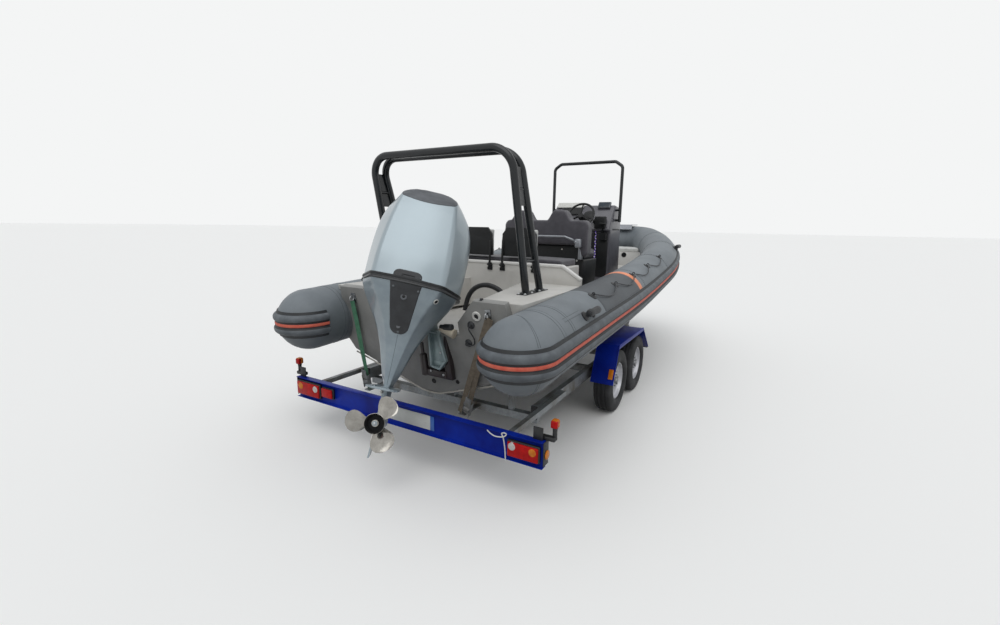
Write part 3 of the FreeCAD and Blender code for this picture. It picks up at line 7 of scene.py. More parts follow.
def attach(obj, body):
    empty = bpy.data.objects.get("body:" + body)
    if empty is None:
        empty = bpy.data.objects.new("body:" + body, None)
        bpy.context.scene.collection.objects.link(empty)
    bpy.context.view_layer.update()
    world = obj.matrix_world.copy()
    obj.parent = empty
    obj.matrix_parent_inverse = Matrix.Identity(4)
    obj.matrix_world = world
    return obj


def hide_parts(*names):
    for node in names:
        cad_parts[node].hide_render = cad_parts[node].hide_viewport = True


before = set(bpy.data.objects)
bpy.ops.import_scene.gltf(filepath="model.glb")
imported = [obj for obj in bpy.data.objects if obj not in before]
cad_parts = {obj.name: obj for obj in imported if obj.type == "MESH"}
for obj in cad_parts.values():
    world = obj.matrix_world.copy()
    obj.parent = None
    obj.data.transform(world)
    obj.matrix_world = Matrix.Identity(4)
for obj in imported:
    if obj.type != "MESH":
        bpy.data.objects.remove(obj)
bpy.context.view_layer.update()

bpy.context.scene.view_settings.view_transform = "Standard"

# Camera: a telephone held at eye level behind the starboard quarter, its wide lens turned a
# little down, so that the stern is near and the bow runs away to the right.
CAMERA_AT = Vector((-5.526, -2.307, 1.818))
CAMERA_YAW = 0.527
CAMERA_PITCH = -0.188
CAMERA_ROLL = 0.016
LENS_MM = 16.571


def camera_turn(yaw, pitch, roll):
    """Turn of a camera that looks along a heading and a slope, with its horizon rolled."""
    ahead = Vector((math.cos(pitch) * math.cos(yaw), math.cos(pitch) * math.sin(yaw), math.sin(pitch)))
    right = ahead.cross(Vector((0, 0, 1))).normalized()
    up = right.cross(ahead)
    x = right * math.cos(roll) + up * math.sin(roll)
    y = up * math.cos(roll) - right * math.sin(roll)
    return Matrix((x, y, -ahead)).transposed().to_4x4()


camera = bpy.data.objects.new("camera", bpy.data.cameras.new("camera"))
bpy.context.scene.collection.objects.link(camera)
camera.data.lens = LENS_MM
camera.data.sensor_width = 36.0
camera.data.clip_start = 0.05
camera.data.clip_end = 200.0
camera.matrix_world = Matrix.Translation(CAMERA_AT) @ camera_turn(CAMERA_YAW, CAMERA_PITCH, CAMERA_ROLL)
bpy.context.scene.camera = camera

# Studio: a plain pale floor under an overcast sky, brightest overhead, with one wide soft sun
# behind the camera's left shoulder, which leaves only a faint shadow under the boat.
FLOOR_SIZE = 400.0
SUN_FROM = Vector((-0.55, -0.25, 0.9))
SUN_STRENGTH = 1.15
SUN_ANGLE = 1.1           # radians across, as a bright patch of cloud
SKY_LOW = 0.34            # strength of the sky at the horizon and overhead
SKY_HIGH = 0.92


def rgb(text):
    """sRGB hex to the linear colour that the shaders take."""
    parts = [int(text[i:i + 2], 16) / 255 for i in (1, 3, 5)]
    return tuple(p / 12.92 if p <= 0.04045 else ((p + 0.055) / 1.055) ** 2.4 for p in parts) + (1.0,)


def add(tree, kind, sockets=None, **settings):
    """Adds a node with its settings. A socket's value is a constant, or the output that feeds it."""
    node = tree.nodes.new("ShaderNode" + kind)
    for key, value in settings.items():
        setattr(node, key, value)
    for key, value in (sockets or {}).items():
        if isinstance(value, bpy.types.NodeSocket):
            tree.links.new(value, node.inputs[key])
        else:
            node.inputs[key].default_value = value
    return node


def material(name, **shader):
    """A new material, its node tree and its shader, with the shader's constants set on its sockets."""
    made = bpy.data.materials.new(name)
    made.use_nodes = True
    bsdf = made.node_tree.nodes["Principled BSDF"]
    for key, value in shader.items():
        bsdf.inputs[key.replace("_", " ").title().replace("Ior", "IOR")].default_value = value
    return made, made.node_tree, bsdf


def seen_plain(tree):
    """1 for a ray that the camera or a glossy surface sends, which is to find the plain studio, else 0."""
    path = add(tree, "LightPath").outputs
    return add(tree, "Math", {0: path["Is Camera Ray"], 1: path["Is Glossy Ray"]}, operation="MAXIMUM").outputs[0]


def mixed(tree, share, one, other):
    """Colour between two, each a hex text or an output, by the share of the second."""
    one, other = [rgb(c) if isinstance(c, str) else c for c in (one, other)]
    return add(tree, "Mix", {"Factor": share, "A": one, "B": other}, data_type="RGBA").outputs["Result"]


def noise(tree, where, scale, detail, **sockets):
    """Value of a noise texture of a scale."""
    return add(tree, "TexNoise", {"Vector": where, "Scale": scale, "Detail": detail, **sockets}).outputs["Fac"]


def stretched(tree, value, low, high):
    """A value's range from low to high, stretched to 0 to 1."""
    return add(tree, "MapRange", {"Value": value, "From Min": low, "From Max": high}).outputs["Result"]


def finish(tree, bsdf, colour, height=None, strength=0.5, depth_mm=1.0):
    """Feeds a shader its colour and, where a height is given, a relief."""
    tree.links.new(colour, bsdf.inputs["Base Color"])
    if height is not None:
        bump = add(tree, "Bump", {"Height": height, "Strength": strength, "Distance": depth_mm / 1000})
        tree.links.new(bump.outputs["Normal"], bsdf.inputs["Normal"])


world = bpy.data.worlds.new("studio")
bpy.context.scene.world = world
world.use_nodes = True
world_tree = world.node_tree
world_tree.nodes.clear()
height = add(world_tree, "SeparateXYZ", {0: add(world_tree, "TexCoord").outputs["Generated"]})
glow = add(world_tree, "MapRange", {"Value": height.outputs["Z"], "To Min": SKY_LOW, "To Max": SKY_HIGH})
dim = add(world_tree, "Background", {"Color": rgb("#e6ebf1"), "Strength": glow.outputs["Result"]})
bright = add(world_tree, "Background", {"Color": rgb("#f4f5f5"), "Strength": 1.0})
chosen = add(world_tree, "MixShader", {0: seen_plain(world_tree), 1: dim.outputs[0], 2: bright.outputs[0]})
add(world_tree, "OutputWorld", {"Surface": chosen.outputs[0]})

# matt floor paint: pale to the eye, but it throws no more light up under the boat than tarmac does
floor_paint, floor_tree, floor_bsdf = material("pale_floor_paint", roughness=0.9)
finish(floor_tree, floor_bsdf, mixed(floor_tree, seen_plain(floor_tree), "#8b8b8a", "#f8f6f2"))
floor_mesh = bpy.data.meshes.new("floor")
half = FLOOR_SIZE / 2
floor_mesh.from_pydata([(-half, -half, 0), (half, -half, 0), (half, half, 0), (-half, half, 0)], [], [(0, 1, 2, 3)])
floor_mesh.materials.append(floor_paint)
floor = bpy.data.objects.new("floor", floor_mesh)
bpy.context.scene.collection.objects.link(floor)

sun_data = bpy.data.lights.new("soft_sun", "SUN")
sun_data.energy = SUN_STRENGTH
sun_data.angle = SUN_ANGLE
sun = bpy.data.objects.new("soft_sun", sun_data)
bpy.context.scene.collection.objects.link(sun)
sun.rotation_mode = "QUATERNION"
sun.rotation_quaternion = SUN_FROM.to_track_quat("Z", "Y")

# Inflated tubes: coated polyester cloth, cut in gores, glued with overlapping seams and pumped
# hard. A charcoal panel and an orange band are glued round the tube abreast of the helm.
FIT_X = -2.708            # from the transom's foot to the frame's origin
TUBE_R = 0.255
TUBE_Y = 1.009
TUBE_AFT_X = -0.330
TUBE_AFT_Z = 1.011
SHEER_X = 1.200
SHEER_AFT = math.radians(2.58)
SHEER_BOW = math.radians(7.41)
TURN_X = 3.200
TURN_R = 4.815
TURN_ANGLE = math.radians(28.0)
SHEER_R = (TURN_X - SHEER_X) / (math.sin(SHEER_BOW) - math.sin(SHEER_AFT))
BOW_R = (TUBE_Y - TURN_R * (1 - math.cos(TURN_ANGLE))) / math.cos(TURN_ANGLE)
TUBE_RUNS = [  # kind, length or radius, angle
    ("straight", (SHEER_X - TUBE_AFT_X) / math.cos(SHEER_AFT), 0.0),
    ("up", SHEER_R, SHEER_BOW - SHEER_AFT),
    ("inward", TURN_R, TURN_ANGLE),
    ("inward", BOW_R, math.pi / 2 - TURN_ANGLE),
]
TUBE_LENGTH = sum(size if kind == "straight" else size * angle for kind, size, angle in TUBE_RUNS)
TUBE_STEP = 0.05
RING_SEAMS = [  # station, width, angles of the tape's two ends round the tube
    (-0.165, 0.035, 24, 336), (0.0, 0.03, 24, 180), (1.95, 0.03, 24, 180), (3.05, 0.03, 24, 180),
    (4.1, 0.03, 24, 180), (4.95, 0.03, 24, 180),
]
DOME_SEAMS = (30.0, 34.0)  # turn round the stern end of the two gore seams, in degrees
DOME_RINGS = 14
DOME_TIP = 89.9           # degrees from the dome's rim to its first ring
SEAM_HALF = 0.002         # half the width of the line of painted shade along a tape's edge
PANEL = (0.67, 1.74)      # stations of the charcoal panel and of the end of the orange band
BAND_END = 1.835
LONG_TAPE = (-0.05, 0.24)
PRESSED = 0.0001          # how far the pressed border of a glued cloth stands off the skin
TUBE_SIDES = 72
SIDES = (("port", 1), ("starboard", -1))


def boat(x, y, z):
    """Point in the boat, its station given from the transom's foot."""
    return Vector((x + FIT_X, y, z))


def tube_frame(distance):
    """Frame on the port tube's centre line: X forward, Y outward and Z up at a distance from its start."""
    here = Matrix.Translation(boat(TUBE_AFT_X, TUBE_Y, TUBE_AFT_Z)) @ Matrix.Rotation(SHEER_AFT, 4, (0, -1, 0))
    left = distance
    for kind, size, angle in TUBE_RUNS:
        length = size if kind == "straight" else size * angle
        step = left if (kind, size) == TUBE_RUNS[-1][:2] else min(left, length)
        if kind == "straight":
            here = here @ Matrix.Translation((step, 0, 0))
        elif kind == "up":
            arm = Matrix.Translation((0, 0, size))
            here = here @ arm @ Matrix.Rotation(step / size, 4, (0, -1, 0)) @ arm.inverted()
        else:
            arm = Matrix.Translation((0, -size, 0))
            here = here @ arm @ Matrix.Rotation(step / size, 4, (0, 0, -1)) @ arm.inverted()
        left -= step
        if left <= 0:
            break
    return here


def tube_distance(x):
    """Distance along the tube at a station, which is given from the transom's foot."""
    low, high = -1.0, TUBE_LENGTH
    for _ in range(30):
        middle = (low + high) / 2
        if tube_frame(middle).translation.x - FIT_X < x:
            low = middle
        else:
            high = middle
    return low


def mirrored(p, way):
    """The point itself, or its mirror image on the other side of the boat."""
    return Vector((p.x, way * p.y, p.z))


def on_skin(here, degrees, lift, way=1):
    """Point on the skin round a frame of the tube, at an angle above its outer side."""
    a = math.radians(degrees)
    return mirrored(here @ Vector((0, (TUBE_R + lift) * math.cos(a), (TUBE_R + lift) * math.sin(a))), way)


def loft(rings, colours=None, closed=False, ends=False):
    """Mesh over a row of rings of equal counts. The colours number each strip's material."""
    bm = bmesh.new()
    rows = [[bm.verts.new(p) for p in ring] for ring in rings]
    count = len(rows[0])
    for a, b in zip(rows, rows[1:]):
        for i in range(count if closed else count - 1):
            j = (i + 1) % count
            face = bm.faces.new((a[i], a[j], b[j], b[i]))
            if colours:
                face.material_index = colours[i]
    if ends:
        bm.faces.new(rows[0][::-1])
        bm.faces.new(rows[-1])
    return bm


def shaped(name, bm, mats, body="root", crease=32.0, replaces=None):
    """Makes the mesh into a piece that rides on a body, smooth but for its sharp edges."""
    bmesh.ops.remove_doubles(bm, verts=bm.verts, dist=1e-6)
    bmesh.ops.recalc_face_normals(bm, faces=bm.faces)
    for face in bm.faces:
        face.smooth = True
    for edge in bm.edges:
        edge.smooth = len(edge.link_faces) == 2 and edge.calc_face_angle(0.0) < math.radians(crease)
    data = bpy.data.meshes.new(name)
    bm.to_mesh(data)
    bm.free()
    for mat in mats if isinstance(mats, list) else [mats]:
        data.materials.append(mat)
    return declared(name, data, body, replaces)


def declared(name, data, body, replaces):
    """Puts a mesh or a curve on its body and the CAD node it stands for."""
    made = bpy.data.objects.new(name, data)
    bpy.context.scene.collection.objects.link(made)
    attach(made, body)
    if replaces:
        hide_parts(replaces)
    return made


def surface(name, dark, light, blotch_mm, grain_mm, depth_mm, **shader):
    """A finish with two close colours in soft blotches and a grain of its own size in the bump."""
    made, tree, bsdf = material(name, **shader)
    where = add(tree, "TexCoord").outputs["Object"]
    blotch = stretched(tree, noise(tree, where, 1000 / blotch_mm, 4.0, Roughness=0.6), 0.32, 0.68)
    finish(tree, bsdf, mixed(tree, blotch, dark, light), noise(tree, where, 1000 / grain_mm, 2.0), 0.5, depth_mm)
    return made


# coated tube cloth: dull and faintly dusty, the weave just felt through the coating
grey_tube_cloth = surface("grey_tube_cloth", "#6a7074", "#7a8084", 340, 1.4, 0.25, roughness=0.6, sheen_weight=0.06)
charcoal_tube_cloth = surface("charcoal_tube_cloth", "#3f4347", "#4b5054", 300, 1.4, 0.25, roughness=0.55)
# dark lines along the edges of the glued tapes: painted shade where each tape's edge steps off the skin
tape_edge_shade = surface("painted_tape_edge_shade", "#4d5357", "#5b6165", 160, 1.4, 0.2, roughness=0.6)
orange_tube_cloth = surface("orange_tube_cloth", "#ee8d68", "#f7a878", 200, 1.4, 0.25, roughness=0.55)


def glued(name, start, end, low, high, mat, way, lift=0.0012, edge=0.003):
    """Cloth glued on the tube between two distances and two angles, its border pressed down."""
    steps = max(2, math.ceil((end - start) / TUBE_STEP))
    along = [start, start + edge] + [start + (end - start) * k / steps for k in range(1, steps)] + [end - edge, end]
    rim = math.degrees(edge / TUBE_R)
    turns = max(2, math.ceil((high - low) / 5))
    round_ = [low, low + rim] + [low + (high - low) * k / turns for k in range(1, turns)] + [high - rim, high]
    rings = []
    for d in along:
        here = tube_frame(d)
        lifts = [PRESSED if d in (along[0], along[-1]) or a in (round_[0], round_[-1]) else lift for a in round_]
        rings.append([on_skin(here, a, off, way) for a, off in zip(round_, lifts)])
    shaped(name, loft(rings), mat)


for side, way in SIDES:
    rings = []
    start = tube_frame(0)
    for k in range(DOME_RINGS):
        a = math.radians(DOME_TIP - 90 * k / DOME_RINGS)
        r = TUBE_R * math.cos(a)
        rings.append([mirrored(start @ Vector((-TUBE_R * math.sin(a), r * math.cos(t), r * math.sin(t))), way)
                      for t in (2 * math.pi * i / TUBE_SIDES for i in range(TUBE_SIDES))])
    steps = math.ceil(TUBE_LENGTH / TUBE_STEP)
    for k in range(steps + 1):
        here = tube_frame(TUBE_LENGTH * k / steps)
        rings.append([on_skin(here, 360 * i / TUBE_SIDES, 0, way) for i in range(TUBE_SIDES)])
    shaped("tube_skin_" + side, loft(rings, closed=True, ends=True), grey_tube_cloth, crease=60,
           replaces="tube_" + side)
    panel, band, end = [tube_distance(x) for x in (*PANEL, BAND_END)]
    glued("charcoal_panel_" + side, panel, band, 25, 205, charcoal_tube_cloth, way)
    glued("orange_band_" + side, band, end, 25, 205, orange_tube_cloth, way, 0.0016)
    for k, (x, width, low, high) in enumerate(RING_SEAMS):
        d = tube_distance(x)
        glued("ring_tape_%d_%s" % (k, side), d, d + width, low, high, grey_tube_cloth, way, 0.0009)
        for kind, line in (("edge", d), ("lip", d + width)):
            glued("ring_%s_%d_%s" % (kind, k, side), line - SEAM_HALF, line + SEAM_HALF, low, high, tape_edge_shade, way,
                  0.0016, 0.001)
    low, high = [tube_distance(x) for x in LONG_TAPE]
    glued("long_tape_" + side, low, high, 43.5, 49.5, grey_tube_cloth, way, 0.0010)
    for angle in (43.3, 49.3):
        glued("long_edge_%d_%s" % (angle, side), low, high, angle, angle + 0.8, tape_edge_shade, way, 0.0017, 0.001)
    # lines of painted shade along the stern dome's two gore seams
    for k, turn in enumerate(DOME_SEAMS):
        rings = []
        for bend in (turn - 0.5, turn, turn + 0.5):
            lean = tube_frame(0) @ Matrix.Rotation(math.radians(bend), 4, (0, 0, 1))
            rings.append([on_skin(lean, a, 0.0014 if bend == turn else 0.0002, way) for a in range(26, 335, 4)])
        shaped("dome_edge_%d_%s" % (k, side), loft(rings), tape_edge_shade)

# Rub strakes: an extruded black rubber strip with two grey ribs and a coral centre line, glued
# round the stern end and forward to the bow, to take knocks from quays and other boats.
# the ribs are grey but black on the part of their inner flanks nearest the coral line
STRAKE = [  # angle from the middle in degrees, height off the cloth in mm, colour of the next strip
    (24.3, 0.5, "black"), (24.0, 7.0, "black"), (18.8, 7.6, "grey"), (17.6, 13, "grey"), (16.0, 20.5, "grey"),
    (14.0, 25, "grey"), (11.7, 26.3, "grey"), (9.0, 25, "grey"), (6.8, 20, "black"), (5.0, 12, "black"),
    (4.4, 7.2, "black"), (2.8, 7.2, "coral"), (2.4, 9.6, "coral"), (1.2, 11.5, "coral"),
]
strake_rubber = {
    # extruded rubber: black where it is bare, grey and scuffed on the ribs, coral on the line
    "black": surface("black_strake_rubber", "#17191b", "#26292c", 60, 1.2, 0.15, roughness=0.6),
    "grey": surface("grey_rib_rubber", "#4d5256", "#676c70", 90, 1.2, 0.15, roughness=0.62),
    "coral": surface("coral_line_rubber", "#d45a48", "#e2745d", 60, 1.2, 0.15, roughness=0.6),
}
COLOURS = list(strake_rubber)
STERN_SWEEP = 178.0       # degrees that the strake turns round the stern end
STERN_STEPS = 36
lower_half = [(-a, h, STRAKE[max(i - 1, 0)][2]) for i, (a, h, c) in enumerate(STRAKE)][::-1]
strake_profile = STRAKE[:-1] + [(STRAKE[-1][0], STRAKE[-1][1], "coral")] + lower_half
strake_colours = [COLOURS.index(c) for a, h, c in strake_profile[:-1]]
for side, way in SIDES:
    rings = []
    for k in range(STERN_STEPS, 0, -1):
        here = tube_frame(0) @ Matrix.Rotation(math.radians(STERN_SWEEP * k / STERN_STEPS), 4, (0, 0, 1))
        rings.append([on_skin(here, a, h / 1000, way) for a, h, c in strake_profile])
    for k in range(steps + 1):
        here = tube_frame(TUBE_LENGTH * k / steps)
        rings.append([on_skin(here, a, h / 1000, way) for a, h, c in strake_profile])
    shaped("rub_strake_" + side, loft(rings, strake_colours, ends=True), list(strake_rubber.values()),
           replaces="rub_strakes" if side == "port" else None)

# Lifelines: 10 mm black braided polyester rope, held by glued eyelets along the top of each
# tube and hanging slack in a shallow loop between them, so that a swimmer can take hold.
ROPE_R = 0.005
EYELET_X = (0.65, 1.25, 1.85, 2.45, 3.05)
EYELET_ANGLE = 62.0
LOOP = ((0.0, 62, 0.018), (0.11, 52, 0.015), (0.23, 45, 0.013), (0.37, 45, 0.013), (0.49, 52, 0.015))


def on_tube(x, degrees, lift):
    """Point on the port tube at a station and an angle above its outer side, lifted off the skin."""
    centre = tube_frame(tube_distance(x)).translation
    a = math.radians(degrees)
    r = TUBE_R + lift
    return boat(x, centre.y + r * math.cos(a), centre.z + r * math.sin(a))


def spline(name, points, radius, mat, body="root", resolution=8, replaces=None):
    """A smooth round cord, pipe or cable along given points."""
    data = bpy.data.curves.new(name, "CURVE")
    data.dimensions = "3D"
    line = data.splines.new("NURBS")
    line.points.add(len(points) - 1)
    for knot, point in zip(line.points, points):
        knot.co = (*point, 1.0)
    line.order_u = 3
    line.use_endpoint_u = True
    line.resolution_u = resolution
    data.bevel_depth = radius
    data.bevel_resolution = 3
    data.use_fill_caps = True
    data.materials.append(mat)
    return declared(name, data, body, replaces)


# braided polyester, spun black yarn: dull, with a fine diagonal weave about 2.5 mm wide
polyester_rope, tree, bsdf = material("braided_polyester_rope", roughness=0.85, sheen_weight=0.3)
where = add(tree, "TexCoord").outputs["Object"]
weave = add(tree, "TexWave", {"Vector": where, "Scale": 1000 / 2.5 / 6.3, "Distortion": 1.0, "Detail": 1.0},
            bands_direction="DIAGONAL")
finish(tree, bsdf, mixed(tree, weave.outputs["Fac"], "#17181b", "#32353a"), weave.outputs["Fac"], 0.6, 1.0)

rope_route = [on_tube(x + step, degrees, lift) for x in EYELET_X[:-1] for step, degrees, lift in LOOP]
rope_route.append(on_tube(EYELET_X[-1], EYELET_ANGLE, 0.018))
for side, way in SIDES:
    route = [mirrored(p, way) for p in rope_route]
    rope = spline("lifeline_rope_" + side, route, ROPE_R, polyester_rope, replaces="lifeline_" + side)

# Handles and eyelets: black rubber mouldings on round patches, glued on the tubes.
fitting_rubber = surface("fitting_rubber", "#1b1c1e", "#2a2c2f", 50, 1.0, 0.2, roughness=0.55)
HANDLE_X = (0.33, 4.15)
HANDLE_ANGLE = 36.0
# turned profiles, here and further on: distance along the axis and radius
EYELET = ((-0.004, 0.040), (0.002, 0.040), (0.004, 0.034), (0.005, 0.018), (0.012, 0.014), (0.013, 0.0135))
EYE_R = 0.011
EYE_WIRE = 0.0042
HANDLE_FOOT = ((-0.01, 0.036), (0.006, 0.036), (0.012, 0.028), (0.02, 0.02), (0.045, 0.017), (0.055, 0.021))
HANDLE_GRIP = ((0, 0.010), (0.004, 0.021), (0.02, 0.0275), (0.06, 0.0265), (0.105, 0.0245), (0.15, 0.0265),
               (0.19, 0.0275), (0.206, 0.021), (0.21, 0.010))


def dress(mat, *names, bevel=0.0):
    """Gives CAD nodes whose shape is right their finish, and rounds their edges if a radius is given."""
    for name in names:
        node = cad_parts[name]
        for slot in node.material_slots:
            slot.material = mat
        if bevel:
            rounding = node.modifiers.new("rounded_edges", "BEVEL")
            rounding.width = bevel
            rounding.segments = 2
            rounding.limit_method = "ANGLE"
            rounding.angle_limit = math.radians(35)
            rounding.harden_normals = True


def skinned(bm, rows):
    """Joins rows of points, each a closed ring, into a skin that is open at its two ends."""
    rows = [[bm.verts.new(p) for p in row] for row in rows]
    for a, b in zip(rows, rows[1:]):
        for i in range(len(a)):
            j = (i + 1) % len(a)
            bm.faces.new((a[i], a[j], b[j], b[i]))
    return rows


def lathe(bm, profile, at, way, sides=20):
    """Adds a turned form: pairs of distance along the axis and radius, from a point."""
    way = Vector(way).normalized()
    side = way.orthogonal().normalized()
    up = way.cross(side)
    turns = [2 * math.pi * i / sides for i in range(sides)]
    rows = skinned(bm, [[Vector(at) + way * along + (side * math.cos(t) + up * math.sin(t)) * radius for t in turns]
                        for along, radius in profile])
    bm.faces.new(rows[0][::-1])
    bm.faces.new(rows[-1])


def rounded(bm, edges, radius, segments):
    """Rounds edges to a radius."""
    bmesh.ops.bevel(bm, geom=list(edges), offset=radius, segments=segments, profile=0.5, affect="EDGES",
                    clamp_overlap=True)


def block(bm, at, size, round_, turn=Matrix.Identity(4), segments=2):
    """Adds a rounded block of a size round a point."""
    place = Matrix.Translation(at) @ turn @ Matrix.Diagonal((*size, 1.0))
    corners = bmesh.ops.create_cube(bm, size=1.0, matrix=place)["verts"]
    rounded(bm, {e for v in corners for e in v.link_edges}, round_, segments)


def plate(bm, outline, place, thick, round_):
    """Adds a flat plate: an outline in a matrix's XY plane, thick along its Z, its edges rounded."""
    low, high = [[bm.verts.new(place @ Vector((x, y, z))) for x, y in outline] for z in (0.0, thick)]
    count = len(outline)
    faces = [bm.faces.new(low[::-1]), bm.faces.new(high)]
    faces += [bm.faces.new((low[i], low[(i + 1) % count], high[(i + 1) % count], high[i])) for i in range(count)]
    rounded(bm, {e for f in faces for e in f.edges}, round_, 2)


for side, way in SIDES:
    bm = bmesh.new()
    for x in EYELET_X:
        foot = mirrored(on_tube(x, EYELET_ANGLE, 0.0), way)
        out = (mirrored(on_tube(x, EYELET_ANGLE, 0.1), way) - foot).normalized()
        lathe(bm, EYELET, foot, out, 28)
        turns = [2 * math.pi * k / 12 for k in range(13)]
        ring = [foot + out * (0.019 + EYE_R * math.cos(t)) + Vector((0, -out.z, out.y)) * (EYE_R * math.sin(t))
                for t in turns]
        for start, stop in zip(ring, ring[1:]):
            lathe(bm, ((0, EYE_WIRE), ((stop - start).length, EYE_WIRE)), start, stop - start, 8)
    for x in HANDLE_X:
        foot = mirrored(on_tube(x, HANDLE_ANGLE, 0.0), way)
        out = (mirrored(on_tube(x, HANDLE_ANGLE, 0.1), way) - foot).normalized()
        for end in (-1, 1):
            lathe(bm, HANDLE_FOOT, foot + Vector((end * 0.072, 0, 0)), out, 24)
        lathe(bm, HANDLE_GRIP, foot + out * 0.05 - Vector((HANDLE_GRIP[-1][0] / 2, 0, 0)), (1, 0, 0), 24)
    shaped("handles_and_eyelets_" + side, bm, fitting_rubber,
           replaces="tube_fittings" if side == "port" else None)

# Hull: glass fibre laid up in a mould, a deep vee below the tubes. Its grey gelcoat is dull
# from years afloat, a little streaked below the waterline.
grey_gelcoat = surface("grey_gelcoat", "#6f6f6b", "#83827d", 400, 3.0, 0.05, roughness=0.42, coat_weight=0.15)
dress(grey_gelcoat, "hull_shell", bevel=0.006)

# Transom, decks, bulkhead, bench and lockers: painted glass fibre mouldings with rounded
# edges. The walking surfaces have a fine non-skid grain, and the bulkhead a pale rolled rim.
TRANSOM_RAKE = math.radians(14.04)
TRANSOM_OUT = Vector((-math.cos(TRANSOM_RAKE), 0, -math.sin(TRANSOM_RAKE)))
transom_paint = surface("transom_paint", "#7f7e7b", "#94938f", 260, 2.0, 0.06, roughness=0.5)
deck_paint = surface("deck_paint", "#b9b6b0", "#cbc8c2", 300, 1.6, 0.12, roughness=0.55)
rim_paint = surface("pale_rim_paint", "#d6d4cf", "#e2e0db", 300, 1.6, 0.05, roughness=0.4)


def softened(node, name, mat, width, segments):
    """A CAD piece with its edges rounded, as a moulding or a folded sheet has them."""
    bm = bmesh.new()
    bm.from_mesh(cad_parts[node].data)
    bmesh.ops.remove_doubles(bm, verts=bm.verts, dist=1e-5)
    bmesh.ops.dissolve_limit(bm, angle_limit=math.radians(1.0), verts=bm.verts, edges=bm.edges)
    sharp = [e for e in bm.edges if len(e.link_faces) == 2 and e.calc_face_angle(0) > math.radians(32)]
    rounded(bm, sharp, width, segments)
    return shaped(name, bm, mat, crease=40, replaces=node)


softened("transom", "transom_moulding", transom_paint, 0.008, 3)
softened("side_decks", "side_deck_mouldings", deck_paint, 0.012, 3)
softened("stern_bulkhead", "bulkhead_moulding", deck_paint, 0.010, 3)
softened("stern_bench", "bench_moulding", deck_paint, 0.012, 3)
softened("bow_locker", "bow_locker_moulding", rim_paint, 0.02, 3)
dress(deck_paint, "cockpit_sole")

BULKHEAD_X = 1.060 + FIT_X
BULKHEAD_RIM = [(0.872, 1.352), (0.694, 1.462), (-0.694, 1.462), (-0.872, 1.352)]
bm = bmesh.new()
for a, b in zip(BULKHEAD_RIM, BULKHEAD_RIM[1:]):
    a, b = [Vector((BULKHEAD_X + 0.012, y, z - 0.004)) for y, z in (a, b)]
    middle = (a + b) / 2
    run = b - a
    lean = math.atan2(run.z, run.y)
    block(bm, middle, (0.040, run.length + 0.012, 0.030), 0.009, Matrix.Rotation(lean, 4, "X"), 3)
shaped("bulkhead_rim", bm, rim_paint)


def at_transom(y, z, lift=0.0):
    """Point on the transom's raked aft face at a place across and a height."""
    return boat(0.030 - (z - 0.5) * math.tan(TRANSOM_RAKE), y, z) + TRANSOM_OUT * lift


# a bead along the transom's foot: the bead is modelled, its pale colour is painted highlight where the edge catches
# the light
lip_highlight_paint = surface("pale_lip_painted_highlight", "#a8a49b", "#c2beb5", 120, 1.6, 0.05, roughness=0.45)
LIP_LINE = ((-0.795, 0.688), (-0.780, 0.686), (-0.110, 0.458), (-0.090, 0.452), (0, 0.443), (0.090, 0.452),
            (0.110, 0.458), (0.780, 0.686), (0.795, 0.688))
spline("transom_lip", [at_transom(y, z, 0.001) for y, z in LIP_LINE], 0.007, lip_highlight_paint)

# Transom fittings: a pale vent ring, cable glands and a hose tail, all pushed through holes in the moulding and
# bedded in sealant, and the drain holes, drawn as dark discs of painted shade.
pale_nylon = surface("pale_nylon", "#cfcdc6", "#deddd7", 40, 1.0, 0.05, roughness=0.45)
# near black: painted shade inside holes and bores
hole_shade_paint = surface("painted_hole_shade", "#0b0b0c", "#131315", 30, 1.0, 0.05, roughness=0.8)
hose_rubber = surface("beige_hose_rubber", "#b6ab97", "#c6bcaa", 60, 1.0, 0.1, roughness=0.55)
GLAND = ((0, 0.030), (0.004, 0.030), (0.007, 0.027), (0.012, 0.017), (0.030, 0.014), (0.031, 0.007))
bm = bmesh.new()
lathe(bm, ((0, 0.037), (0.005, 0.037), (0.009, 0.033), (0.009, 0.020), (0.002, 0.019)), at_transom(-0.558, 1.180),
      TRANSOM_OUT, 32)
shaped("vent_ring", bm, pale_nylon)
# dark discs in the vent ring and in the two drain holes: painted shade
bm = bmesh.new()
for y, z, r in ((-0.558, 1.180, 0.019), (-0.29, 0.600, 0.018), (-0.047, 0.560, 0.022)):
    lathe(bm, ((0.001, r), (0.0035, r * 0.96)), at_transom(y, z), TRANSOM_OUT, 24)
shaped("drain_bores", bm, hole_shade_paint)
bm = bmesh.new()
lathe(bm, GLAND, at_transom(-0.500, 1.107), TRANSOM_OUT, 24)
lathe(bm, GLAND, at_transom(-0.455, 0.960), TRANSOM_OUT, 24)
lathe(bm, ((0, 0.022), (0.006, 0.022), (0.008, 0.012), (0.020, 0.012)),
      (at_transom(-0.590, 1.290).x + 0.04, -0.590, 1.290), (0, 0, 1), 24)
lathe(bm, ((-0.055, 0.020), (-0.05, 0.024), (0.02, 0.024), (0.03, 0.019), (0.06, 0.019)),
      at_transom(-0.300, 1.078, 0.034), (0.1, 1, -0.12), 24)
shaped("cable_glands", bm, fitting_rubber)
bm = bmesh.new()
lathe(bm, ((0, 0.018), (0.01, 0.020), (0.05, 0.024), (0.11, 0.034), (0.13, 0.036), (0.132, 0.030)),
      at_transom(-0.237, 1.058, 0.036), (0.05, -1, -0.2), 24)
shaped("hose_tail", bm, hose_rubber)
sag = [at_transom(-0.500, 1.107, 0.026), at_transom(-0.502, 1.095, 0.048), at_transom(-0.513, 1.050, 0.030),
       at_transom(-0.520, 1.000, 0.012), at_transom(-0.510, 0.955, 0.008), at_transom(-0.480, 0.948, 0.020),
       at_transom(-0.455, 0.960, 0.029)]
cable = spline("sounder_cable", sag, 0.0045, fitting_rubber)

